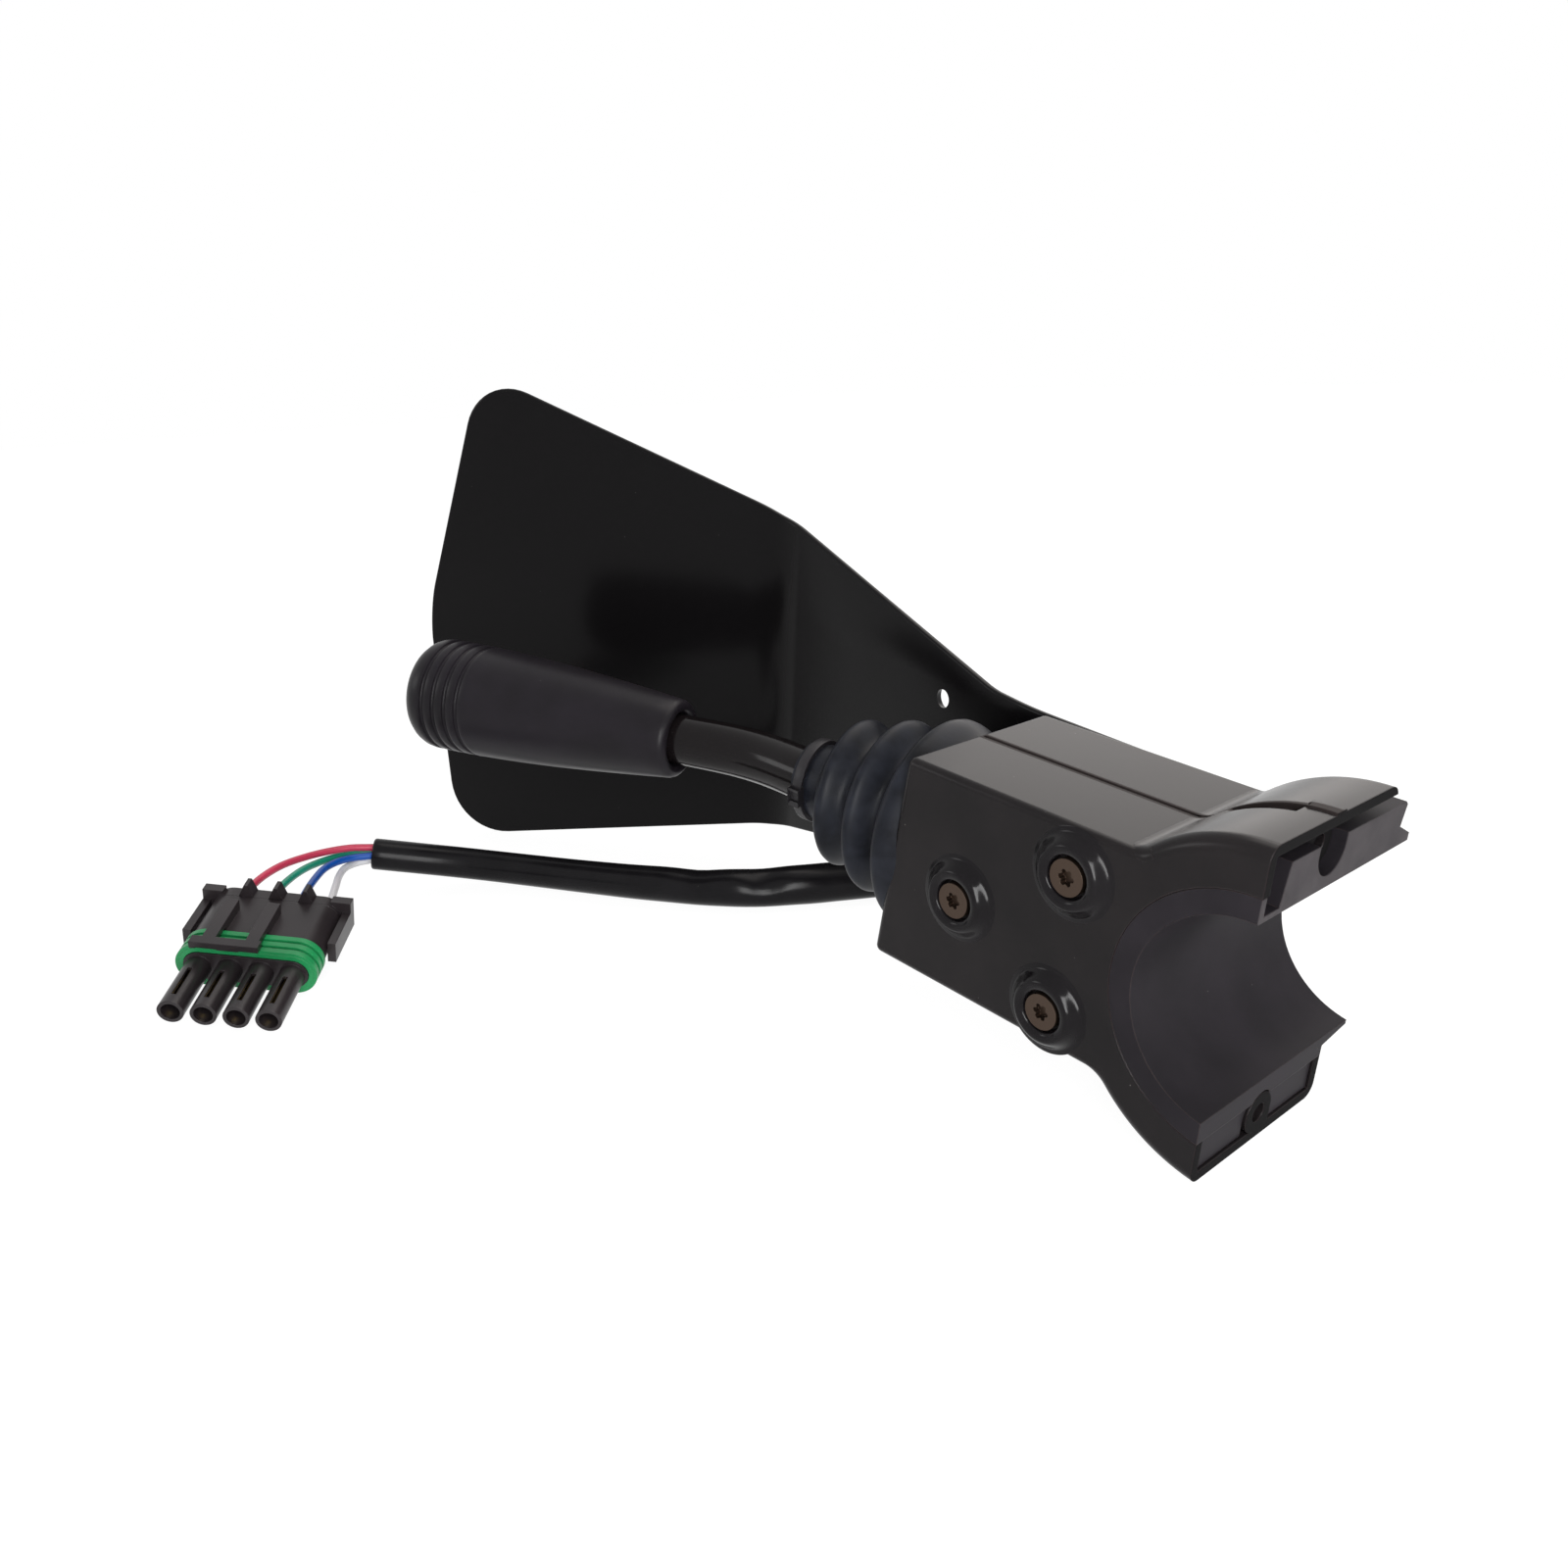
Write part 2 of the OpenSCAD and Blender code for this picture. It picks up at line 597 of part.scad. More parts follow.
module guard_plate() {
    mid_dir = [-cos(mid_panel_angle), sin(mid_panel_angle), 0];
    fold_1 = [-guard_fold_x, guard_mid_y, 0];
    fold_2 = fold_1 + mid_panel_len * mid_dir;
    flat_len = guard_fold_x - guard_start_x;
    color("#1c1b1c")
    difference() {
        union() {
            guard_panel([-guard_start_x, guard_mid_y, 0], 0)
                polygon(rounded([[0, -guard_half_h], [flat_len, -guard_half_h],
                                 [flat_len, guard_half_h], [0, guard_half_h]], [6, 0, 0, 6]));
            guard_panel(fold_1, mid_panel_angle)
                polygon([[0, -guard_half_h], [guard_flare, -guard_half_h],
                         [mid_panel_len + fold_lap, -fan_half_h], [mid_panel_len + fold_lap, fan_half_h],
                         [guard_flare, guard_half_h], [0, guard_half_h]]);
            guard_panel(fold_2, fan_angle) polygon(rounded(fan_outline, fan_radii));
            translate(fold_1 - [0, 0, guard_half_h]) cylinder(d = guard_t + 0.1, h = 2 * guard_half_h);
            translate(fold_2 - [0, 0, fan_half_h - fold_lap])
                cylinder(d = guard_t + 0.1, h = 2 * (fan_half_h - fold_lap));
        }
        translate(fold_1 + guard_hole_u * mid_dir + [0, 0, guard_hole_z])
            rotate([0, 0, -mid_panel_angle]) rotate([90, 0, 0])
                cylinder(d = guard_hole_d, h = 10, center = true);
        for (p = guard_screw_places) along_y([p[0], half_d, p[1]]) cylinder(d = screw_d + 0.5, h = 10);
    }
}

module guard_screws() {
    color("#2a2829")
    for (p = guard_screw_places)
        translate([p[0], guard_mid_y + guard_t / 2, p[1]]) rotate([90, 0, 0]) case_screw(guard_screw_len);
}

// Rubber boot: three folds round the lever, a thick base on the lever end and a spigot in the opening
module boot() {
    bore = rod_d / 2 + running_fit;
    outer = wave(concat(boot_folds, [[boot_neck_at, boot_neck_r], [boot_end_at, boot_neck_r]]), 6);
    skin = wave(concat([for (p = boot_folds) p - [0, boot_wall]],
                       [[boot_neck_at, bore], [boot_end_at, bore]]), 6);
    spigot_r = boot_hole_d / 2 - seat_gap;
    base_r = spigot_r - 0.9;
    hollow = [for (p = skin) if (p[0] > boot_base_at) p];
    inner = concat([[boot_folds[0][0], base_r], [boot_base_at, base_r], [boot_base_at, hollow[0][1]]], hollow);
    color("#3a3b43") {
        difference() {
            lever_frame() rotate([0, 90, 0])
                rotate_extrude() polygon([for (p = concat(outer, reversed(inner))) [p[1], p[0]]]);
            on_end_face() translate([-big, -big, boot_seat - 2 * big]) cube(2 * big);
        }
        on_end_face() translate([0, 0, -wall]) difference() {
            cylinder(r = spigot_r, h = wall + 1.5);
            translate([0, 0, -1]) cylinder(r = spigot_r - 2 * boot_wall, h = wall + 4);
        }
    }
}

// Tie round the neck of the boot, with its square lock head towards the front
module boot_tie() {
    r = boot_neck_r + seat_gap;
    color("#222123")
    lever_frame() translate([tie_at, 0, 0]) rotate([0, 90, 0]) difference() {
        union() {
            translate([0, 0, -tie_w / 2]) cylinder(r = r + 1.3, h = tie_w);
            rotate(-25) translate([-3.2, r - 0.5, -3.4]) cube([6.4, 4.6, 6.8]);
        }
        translate([0, 0, -5]) cylinder(r = r, h = 10);
        rotate(-25) translate([-big, r + 0.4, -1.2]) cube([2 * big, 1.6, 2.4]);
    }
}

// Lever rod: hinge eye, straight shank, one bend towards the wheel and the stem inside the grip
module lever_rod() {
    color("#1a1819") {
        lever_frame() {
            difference() {
                union() {
                    translate([0, 0, eye_low]) cylinder(r = eye_r, h = eye_high - eye_low);
                    translate([0, -4.5, eye_low]) cube([root_at + 3, 9, eye_high - eye_low]);
                }
                translate([0, 0, -20]) cylinder(r = lift_pin_d / 2 + running_fit, h = 40);
            }
            along_x([root_at, 0, 0]) cylinder(d = rod_d, h = bend_at - bend_tangent - root_at);
            translate([bend_at - bend_tangent, bend_r, 0]) rotate([0, 0, -90])
                rotate_extrude(angle = bend_turn, $fn = 96) translate([bend_r, 0]) circle(d = rod_d);
        }
        grip_frame() along_x([bend_tangent - 0.4, 0, 0])
            cylinder(d = rod_d - 0.02, h = grip_start + grip_socket - bend_tangent + 0.4);
    }
}

// Moulded grip: tapered, domed, with four finger grooves near its end
module grip() {
    small = grip_small_d / 2;
    large = grip_big_d / 2;
    dome = 8.5;
    lip = 1.2;
    groove_w = 1.3;
    groove_d = 0.9;
    function side_r(x) = small + (large - small) * sin(90 * min(1, x / (grip_len - dome)));
    plain = grip_len - groove_first - 3.8 * groove_pitch - lip;
    taper = [for (i = [0:9]) let (x = lip + 1 + i * (plain - 1) / 9) [side_r(x), x]];
    cuts = [for (i = [3:-1:0]) let (x = grip_len - groove_first - i * groove_pitch)
        each [[side_r(x - groove_w / 2), x - groove_w / 2], [side_r(x) - groove_d, x - groove_w / 4],
              [side_r(x) - groove_d, x + groove_w / 4], [side_r(x + groove_w / 2), x + groove_w / 2]]];
    cap = [for (a = [0:10:90]) [large - dome * 0.75 + dome * 0.75 * cos(a), grip_len - dome + dome * sin(a)]];
    color("#333136")
    grip_frame() along_x([grip_start, 0, 0]) difference() {
        rotate_extrude($fn = 96)
            polygon(concat([[0, 0], [small - lip, 0], [small, lip]], taper, cuts, cap, [[0, grip_len]]));
        translate([0, 0, -1]) cylinder(r = rod_d / 2 + seat_gap, h = grip_socket + 1);
    }
}

// Yoke: hub on the pivot shaft, two ears for the lift pin and a tail with three detent notches
module selector_yoke() {
    color("#8d8f94")
    difference() {
        union() {
            along_y([-pivot_x, -hub_half, 0]) cylinder(r = hub_r, h = 2 * hub_half);
            translate([-pivot_x - hub_r + 0.4, -ear_half_w, -ear_in - ear_t])
                cube([2 * hub_r - 0.8, 2 * ear_half_w, 2 * (ear_in + ear_t)]);
            for (z = [ear_in, -ear_in - ear_t]) translate([0, 0, z]) {
                translate([lift_x, 0, 0]) cylinder(r = ear_r, h = ear_t);
                translate([lift_x, -ear_r, 0]) cube([lift_d, 2 * ear_r, ear_t]);
            }
            along_y([-pivot_x, arm_low, 0]) linear_extrude(arm_high - arm_low) intersection() {
                circle(detent_r, $fn = 128);
                polygon([[0, -hub_r + 1], [30, -13], [30, 13], [0, hub_r - 1]]);
            }
        }
        along_y([-pivot_x, -20, 0]) cylinder(r = bush_r, h = 40);
        translate([lift_x, 0, -20]) cylinder(r = lift_pin_d / 2, h = 40);
        for (a = [-select_angle, 0, select_angle]) translate([-pivot_x, 0, 0]) rotate([0, a, 0])
            along_y([notch_at, -10, 0]) cylinder(r = notch_r, h = 20);
        along_y([-pivot_x + magnet_at, arm_high - 3, 0]) cylinder(r = 3, h = 4);
    }
}

module pivot_shaft() {
    color("#b9bbbf")
    difference() {
        along_y([-pivot_x, -shaft_half, 0]) cylinder(d = shaft_d, h = 2 * shaft_half);
        along_y([-pivot_x, -shaft_half - 1, 0]) cylinder(d = screw_d + 2 * seat_gap, h = 18);
    }
}

module pivot_bushes() {
    color("#b08d57")
    for (s = [-1, 1]) along_y([-pivot_x, 0, 0]) difference() {
        union() {
            translate([0, 0, s > 0 ? hub_half - 6 : -hub_half]) cylinder(r = bush_r, h = 6);
            translate([0, 0, s > 0 ? hub_half : -hub_half - bush_flange]) cylinder(r = hub_r, h = bush_flange);
        }
        translate([0, 0, -20]) cylinder(r = shaft_d / 2 + running_fit, h = 40);
    }
}

module lift_pin() {
    color("#c3c5c8")
    translate([lift_x, 0, -ear_in - ear_t - 0.6]) {
        cylinder(d = lift_pin_d, h = 2 * (ear_in + ear_t) + 0.6);
        translate([0, 0, 2 * (ear_in + ear_t) + 0.6]) cylinder(d = lift_pin_d + 2.4, h = 1.2);
    }
}

// Torsion spring round the lift pin, above the lever's eye
module lift_spring() {
    color("#a9abb0")
    translate([lift_x, 0, eye_high + 0.2]) coil(lift_pin_d / 2 + 1.2, 0.55, 1.25, 3);
}

module detent_plunger() {
    tip = -pivot_x + plunger_rest;
    color("#cfd1d4") {
        translate([tip + nose_r, 0, 0]) sphere(nose_r);
        along_x([tip + nose_r, 0, 0]) cylinder(r = nose_r, h = plunger_len - nose_r);
    }
}

module detent_spring() {
    along = guide_floor - (-pivot_x + plunger_rest + plunger_len);
    turns = 5;
    wire_r = 0.25;
    color("#a9abb0")
    along_x([guide_floor - along, 0, 0]) coil(nose_r - 0.5, wire_r, (along - 2 * wire_r) / turns, turns, 10);
}

module yoke_magnet() {
    color("#7c7f86")
    along_y([-pivot_x + magnet_at, arm_high - 3, 0]) cylinder(r = 3, h = 3);
}

// Sensor board with two field sensors facing the magnet and a lead header behind
module sensor_board() {
    color("#2f6b45") difference() {
        translate([board_left, board_y, -board_half_h])
            cube([board_right - board_left, board_t, 2 * board_half_h]);
        for (z = [-1, 1]) along_y([board_screw_x, board_y - 1, z * board_screw_z]) cylinder(r = 1.2, h = 5);
    }
    color("#1f1f21") {
        for (z = [-1, 1]) translate([-pivot_x + magnet_at - 2, board_y - 1.5, z * 4 - 1.5]) cube([4, 1.5, 3]);
        translate([gland_x - 4, board_y + board_t, -4]) cube([8, header_depth, 8]);
    }
}

module board_screws() {
    color("#b9bbbf")
    for (z = [-1, 1]) along_y([board_screw_x, board_y, z * board_screw_z]) {
        translate([0, 0, -1.4]) cylinder(r = 2.1, h = 1.4);
        cylinder(r = 1, h = 7);
    }
}

module board_leads() {
    start_y = board_y + board_t + header_depth;
    color("#b0b0b4")
    for (x = [-1, 1], z = [-1, 1])
        along_y([gland_x + x * lead_offset, start_y, z * lead_offset])
            cylinder(d = wire_d, h = sleeve_start_y - start_y);
}

// Rubber gland: grooved into the rear wall, with a tapered nose round the sleeve
module cable_gland() {
    bore = sleeve_d / 2 + running_fit;
    color("#1e1d1f")
    along_y([gland_x, 0, 0]) rotate_extrude()
        polygon([[bore, gland_inner_y], [gland_hole_r + 1.6, gland_inner_y], [gland_hole_r + 1.6, inner_y],
                 [gland_hole_r - seat_gap, inner_y], [gland_hole_r - seat_gap, half_d], [gland_flange_r, half_d],
                 [gland_flange_r, half_d + 1.6], [gland_flange_r - 1.2, half_d + 2.6],
                 [bore + 1, gland_nose_y - 0.8], [bore + 0.4, gland_nose_y], [bore, gland_nose_y]]);
}

module cable_sleeve() { color("#1b1a1b") swept_tube(sleeve_route, sleeve_d / 2, 10); }
module wire_red() { color("#c23a55") swept_tube(wire_red_route, wire_d / 2, 8); }
module wire_green() { color("#1f8f72") swept_tube(wire_green_route, wire_d / 2, 8); }
module wire_blue() { color("#0d4ba0") swept_tube(wire_blue_route, wire_d / 2, 8); }
module wire_white() { color("#d8d8da") swept_tube(wire_white_route, wire_d / 2, 8); }

// Flat oblong with round sides, drawn along local Y
module oblong(half_w, half_height, y0, y1) {
    translate([0, y1, 0]) rotate([90, 0, 0]) linear_extrude(y1 - y0) {
        square([2 * (half_w - half_height), 2 * half_height], center = true);
        for (s = [-1, 1]) translate([s * (half_w - half_height), 0]) circle(half_height);
    }
}

module pin_places() for (i = [0:3]) translate([(i - 1.5) * pin_pitch, 0, 0]) rotate([-90, 0, 0]) children();

// Connector body: four slotted tubes, seal core, main shell and the latch bridge over the seal
module connector_body() {
    main_half_w = core_half_w + 1.6;
    main_half_h = core_half_h + 1.4;
    shell_front = tube_len + seal_len;
    bridge_z = main_half_h + 3.2;
    color("#2c282a")
    connector_frame() difference() {
        union() {
            pin_places() cylinder(d = pin_tube_d, h = tube_len + 1);
            oblong(core_half_w, core_half_h, tube_len, shell_front + 1);
            oblong(main_half_w, main_half_h, shell_front, shell_back);
            for (x = [-11, 0]) translate([x, shell_front - 9.5, main_half_h - 0.6]) {
                cube([3.4, 20, bridge_z - main_half_h + 0.6]);
            }
            translate([-13.5, shell_front - 10, bridge_z - 2]) cube([17.5, 3, 2]);
        }
        for (x = [-11, 0]) translate([x - 1, shell_front - 11, core_half_h]) cube([5.4, 11, 2.9]);
        pin_places() translate([0, 0, -1]) cylinder(d = pin_tube_d - 1.8, h = shell_back + 2);
        for (i = [0:3]) translate([(i - 1.5) * pin_pitch - 0.6, 3, 0]) cube([1.2, 11, pin_tube_d]);
    }
}

// Ring seal with three ribs, stretched over the core of the connector
module connector_seal() {
    color("#1f8a52")
    connector_frame() difference() {
        union() {
            oblong(core_half_w + 1.4, core_half_h + 1.4, tube_len + 0.4, tube_len + seal_len - 0.1);
            for (i = [0:2]) let (y = tube_len + 0.6 + i * 2.8)
                oblong(core_half_w + 2.2, core_half_h + 2.2, y, y + 1.7);
        }
        oblong(core_half_w + seat_gap, core_half_h + seat_gap, tube_len - 1, tube_len + seal_len + 1);
    }
}

// Rear lock: plate behind the body, an ear clip down each side and three pointed lugs on top
module connector_lock() {
    half_w = core_half_w + 1.6;
    top = core_half_h + 1.4;
    color("#2a2628")
    connector_frame() difference() {
        union() {
            oblong(half_w, top, shell_back + seat_gap, lock_back);
            for (s = [-1, 1]) translate([s > 0 ? half_w + 0.3 : -half_w - 2.5, 30, -3]) {
                cube([2.2, lock_back - 30, 6]);
            }
            for (s = [-1, 1]) translate([s > 0 ? half_w - 3 : -half_w - 2.5, lock_back - 3, -3])
                cube([5.5, 3, 9]);
            for (x = [-pin_pitch, 0, pin_pitch]) translate([x, lock_back, top - 1]) rotate([90, 0, 0])
                linear_extrude(lock_back - shell_back - seat_gap)
                    polygon([[-2.4, 0], [2.4, 0], [0.5, 4.6], [-0.5, 4.6]]);
        }
        pin_places() cylinder(d = 4.8, h = big);
    }
}

module wire_seals() {
    color("#4f8f6a")
    connector_frame() pin_places() difference() {
        translate([0, 0, shell_back - 6]) cylinder(d = 4.7, h = lock_back - shell_back + 6.6);
        translate([0, 0, shell_back - 7]) cylinder(d = wire_d, h = 20);
    }
}

module terminals() {
    color("#c7a45a")
    connector_frame() pin_places() {
        translate([0, 0, 4]) cylinder(d = 2.4, h = 16);
        translate([0, 0, 20]) cylinder(d = 4.7, h = shell_back - 26.2);
    }
}

tipped() front_shell();
tipped() rear_shell();
tipped() column_saddle();
tipped() shell_screws();
tipped() guard_plate();
tipped() guard_screws();
tipped() boot();
tipped() boot_tie();
tipped() lever_rod();
tipped() grip();
tipped() selector_yoke();
tipped() pivot_shaft();
tipped() pivot_bushes();
tipped() lift_pin();
tipped() lift_spring();
tipped() detent_plunger();
tipped() detent_spring();
tipped() yoke_magnet();
tipped() sensor_board();
tipped() board_screws();
tipped() board_leads();
tipped() cable_gland();
cable_sleeve();
wire_red();
wire_green();
wire_blue();
wire_white();
connector_body();
connector_seal();
connector_lock();
wire_seals();
terminals();
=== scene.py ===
# %% [markdown]
# # A column gear selector lever
# The real unit is a forward, neutral and reverse lever for a machine with a steering column. A two-part
# black case sits on a half-round saddle, a booted lever leans out of it, a folded sheet guards the
# driver's knee, and a short lead ends in a four-way sealed connector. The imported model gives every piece
# its place. This lesson dresses it: some solids only get a finish, and the pieces whose looks depend on
# soft curves are modelled again.

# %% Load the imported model
import math

import bmesh
import bpy
from mathutils import Matrix, Vector


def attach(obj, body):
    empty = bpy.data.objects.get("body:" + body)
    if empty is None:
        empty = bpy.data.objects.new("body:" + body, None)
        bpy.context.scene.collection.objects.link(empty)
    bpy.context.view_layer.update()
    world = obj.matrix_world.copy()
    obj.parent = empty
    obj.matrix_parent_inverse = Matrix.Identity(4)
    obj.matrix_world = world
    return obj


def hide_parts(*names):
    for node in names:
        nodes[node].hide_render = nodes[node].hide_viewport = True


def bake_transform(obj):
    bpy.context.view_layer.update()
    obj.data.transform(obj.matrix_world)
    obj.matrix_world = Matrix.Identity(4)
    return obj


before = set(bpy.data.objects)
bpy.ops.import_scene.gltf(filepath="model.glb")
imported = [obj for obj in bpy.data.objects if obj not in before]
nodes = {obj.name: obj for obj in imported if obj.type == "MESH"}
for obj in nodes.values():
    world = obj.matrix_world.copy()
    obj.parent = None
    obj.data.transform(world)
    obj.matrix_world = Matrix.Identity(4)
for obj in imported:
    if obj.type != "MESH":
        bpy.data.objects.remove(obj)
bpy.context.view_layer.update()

# %% [markdown]
# ## One drawing frame
# The unit was drawn in millimetres, square to the column, with the lever pointing to -X. It then lies on
# the table tipped 6.55 degrees about the column. Drawing each new piece in that square frame and tipping
# its mesh at the end keeps the numbers plain, and leaves the object itself at the origin.

# %% Frames of the case, the lever and the grip
# Millimetres in a metre
MM = 1000
TIP_TURN = math.radians(6.55)
LEVER_ROOT = (-82.5, 0, 0)
LEVER_TURN = math.radians(183.4)
BEND_FROM_ROOT = (76.2, 0, 0)
BEND_TURN = math.radians(20.9)
GRIP_FROM_BEND = (22.5, 0, 0)
TO_METRES = Matrix.Scale(1 / MM, 4)
TIP = Matrix.Rotation(TIP_TURN, 4, "Y") @ TO_METRES
LEVER = Matrix.Translation(LEVER_ROOT) @ Matrix.Rotation(LEVER_TURN, 4, "Z")
BEND = LEVER @ Matrix.Translation(BEND_FROM_ROOT) @ Matrix.Rotation(BEND_TURN, 4, "Z")
GRIP = BEND @ Matrix.Translation(GRIP_FROM_BEND)
print("grip starts at", [round(v, 4) for v in TIP @ GRIP.translation])

# %% [markdown]
# ## Camera
# The photograph was matched by sending the case's edges, the screws and the guard's outline through a
# pinhole until they met the picture. The result is a fairly close camera with a short lens, about 19
# degrees above the table. The picture's optical axis isn't quite in its middle, so the camera has a small
# shift.

# %% Place the camera
PHOTO_PX = 1600
FOCAL_PX = 1349.23
AXIS_PX = (829.18, 822.43)
SENSOR_MM = 36
CAMERA_AT = (0.109948, -0.223, 0.120214)
RIGHT = Vector((0.67495, 0.73688, -0.03824))
DOWN = Vector((0.21385, -0.24494, -0.94566))
AHEAD = Vector((-0.7062, 0.63009, -0.3229))
camera_data = bpy.data.cameras.new("camera")
camera_data.sensor_width = SENSOR_MM
camera_data.lens = SENSOR_MM * FOCAL_PX / PHOTO_PX
camera_data.shift_x = (PHOTO_PX / 2 - AXIS_PX[0]) / PHOTO_PX
camera_data.shift_y = (AXIS_PX[1] - PHOTO_PX / 2) / PHOTO_PX
camera_data.clip_start = 0.01
camera = bpy.data.objects.new("camera", camera_data)
camera_turn = Matrix((RIGHT, -DOWN, -AHEAD)).transposed().to_4x4()
camera.matrix_world = Matrix.Translation(CAMERA_AT) @ camera_turn
bpy.context.collection.objects.link(camera)
bpy.context.scene.camera = camera
print("lens", round(camera_data.lens, 2), "mm")

# %% [markdown]
# ## Finishes
# Every finish starts from the real material. Colours are written as sRGB hex and turned to linear light
# once. One small function adds a shader node, sets its options and links its inputs. A few short forms of
# it, for the nodes that come up again and again, let each recipe below read as a list.

# %% Colour and node helpers
def linear(hex_colour):
    parts = [int(hex_colour[i:i + 2], 16) / 255 for i in (1, 3, 5)]
    return [c / 12.92 if c <= 0.04045 else ((c + 0.055) / 1.055) ** 2.4 for c in parts] + [1]


def add(tree, kind, inputs=None, **settings):
    made = tree.nodes.new(kind)
    for name, value in settings.items():
        setattr(made, name, value)
    for name, value in (inputs or {}).items():
        if isinstance(value, bpy.types.NodeSocket):
            tree.links.new(value, made.inputs[name])
        else:
            made.inputs[name].default_value = value
    return made


def new_material(name):
    made = bpy.data.materials.new(name)
    made.use_nodes = True
    return made, made.node_tree, made.node_tree.nodes["Principled BSDF"]


print("linear grey", [round(v, 3) for v in linear("#808080")])


# %% Short forms of the common nodes
def ramp(tree, value, low, high, start=0.0, end=1.0):
    span = {"Value": value, "From Min": low, "From Max": high, "To Min": start, "To Max": end}
    return add(tree, "ShaderNodeMapRange", span).outputs["Result"]


def noise(tree, place, size_mm, detail):
    inputs = {"Vector": place, "Scale": MM / size_mm, "Detail": detail}
    return add(tree, "ShaderNodeTexNoise", inputs).outputs["Fac"]


def mixed(tree, share, first, second):
    inputs = {"Fac": share, "Color1": first, "Color2": second}
    return add(tree, "ShaderNodeMixRGB", inputs).outputs["Color"]


def joined(tree, operation, first, second):
    return add(tree, "ShaderNodeMath", {0: first, 1: second}, operation=operation).outputs["Value"]


def dot(tree, first, second):
    made = add(tree, "ShaderNodeVectorMath", {0: first, 1: second}, operation="DOT_PRODUCT")
    return made.outputs["Value"]


print("short forms", [helper.__name__ for helper in (ramp, noise, mixed, joined, dot)])

# %% [markdown]
# ## Moulded and coated surfaces
# Most of the unit is moulded. A mould's spark-eroded grain is about 0.1 mm, too fine for this picture, so
# it is drawn near 0.4 mm. Slow clouds of handling change the gloss, and a few pale specks of dust lie on
# the dark faces. Sharp edges of the solids are softened by a Bevel node, which rounds only the shading, by
# about the radius that a mould leaves. Where that rounded normal leaves the face's own normal, an edge is
# near, and a warm brown painted highlight is mixed in there. Black plastics have an IOR near 1.5, but this
# photograph was taken against dark surroundings that a white table can't give, so the values here are
# lower and the faces that look at the table stay black.

# %% Recipe for a moulded surface
TONE_STOPS = (0.3, 0.75)
CLOUD_SPAN = (0.3, 0.7)
DUST_CELL_MM = 6.5
DUST_SPAN = (0.012, 0.024)
DUST_COLOUR = "#a8a6a2"
EDGE_SPAN = (0.95, 0.75)
EDGE_HIGHLIGHT_SHARE = 0.6
GRAIN_STRENGTH = 0.6


def moulded(name, dark, pale, gloss, grain_mm, depth_mm,
            edge_mm=0, dust=0.0, ior=1.4, cloud_mm=18, edge_highlight=None):
    made, tree, shader = new_material(name)
    place = add(tree, "ShaderNodeTexCoord").outputs["Object"]
    cloud = noise(tree, place, cloud_mm, 3.0)
    grain = noise(tree, place, grain_mm, 2.0)
    tone = add(tree, "ShaderNodeValToRGB", {"Fac": cloud})
    for stop, position, shade in zip(tone.color_ramp.elements, TONE_STOPS, (dark, pale)):
        stop.position = position
        stop.color = linear(shade)
    colour = tone.outputs["Color"]
    if dust:
        specks = add(tree, "ShaderNodeTexVoronoi", {"Vector": place, "Scale": MM / DUST_CELL_MM})
        spot = ramp(tree, specks.outputs["Distance"], *DUST_SPAN, dust, 0.0)
        colour = mixed(tree, spot, colour, linear(DUST_COLOUR))
    tree.links.new(ramp(tree, cloud, *CLOUD_SPAN, *gloss), shader.inputs["Roughness"])
    relief = {"Height": grain, "Strength": GRAIN_STRENGTH, "Distance": depth_mm / MM}
    if edge_mm:
        soft = add(tree, "ShaderNodeBevel", {"Radius": edge_mm / MM}, samples=6)
        relief["Normal"] = soft.outputs["Normal"]
    # A warm colour mixed in along the edges, where the bevelled normal leaves the face's own, is a painted
    # highlight
    if edge_highlight:
        own = add(tree, "ShaderNodeNewGeometry").outputs["Normal"]
        lightened = ramp(tree, dot(tree, soft.outputs["Normal"], own), *EDGE_SPAN, 0.0, EDGE_HIGHLIGHT_SHARE)
        colour = mixed(tree, lightened, colour, linear(edge_highlight))
    tree.links.new(colour, shader.inputs["Base Color"])
    bump = add(tree, "ShaderNodeBump", relief)
    tree.links.new(bump.outputs["Normal"], shader.inputs["Normal"])
    shader.inputs["IOR"].default_value = ior
    return made


print("recipe", moulded.__name__)

# %% Moulded finishes
# Glass-filled nylon, satin from the mould: a dark warm black that turns grey where it mirrors the room
# The warm brown along its edges is a painted highlight
case_nylon = moulded("glass_filled_nylon_case", "#141213", "#1b1819", (0.19, 0.25), grain_mm=0.42,
                     depth_mm=0.004, edge_mm=0.6, dust=0.35, ior=1.22, edge_highlight="#33292a")
# The saddle is plain nylon, greyer and duller, with a warm painted highlight on its edges
saddle_nylon = moulded("plain_nylon_saddle", "#1d1b1e", "#272428", (0.42, 0.5), grain_mm=0.5,
                       depth_mm=0.015, edge_mm=0.35, dust=0.2, ior=1.14, edge_highlight="#4a403d")
# Soft vinyl grip, matt and slightly violet
grip_vinyl = moulded("soft_vinyl_grip", "#151316", "#1c191e", (0.33, 0.39), grain_mm=0.5,
                     depth_mm=0.015, dust=0.15, ior=1.22)
# The bosses are the same nylon as the case, polished by the mould: blacker, with sharp bright streaks
boss_nylon = moulded("polished_nylon_boss", "#100e10", "#151315", (0.13, 0.18), grain_mm=0.42,
                     depth_mm=0.003, dust=0.2, ior=1.22)
# The tie's nylon is clean and dull
tie_nylon = moulded("black_nylon_tie", "#1a191b", "#232124", (0.34, 0.42), grain_mm=0.4,
                    depth_mm=0.02, edge_mm=0.2, ior=1.3)
# The connector's nylon is a browner black, and the lightest of these mouldings
connector_nylon = moulded("connector_nylon", "#1f1b1d", "#292426", (0.30, 0.38), grain_mm=0.4,
                          depth_mm=0.015, edge_mm=0.25, dust=0.2, ior=1.36)
print("materials so far, with those of the solids", len(bpy.data.materials))
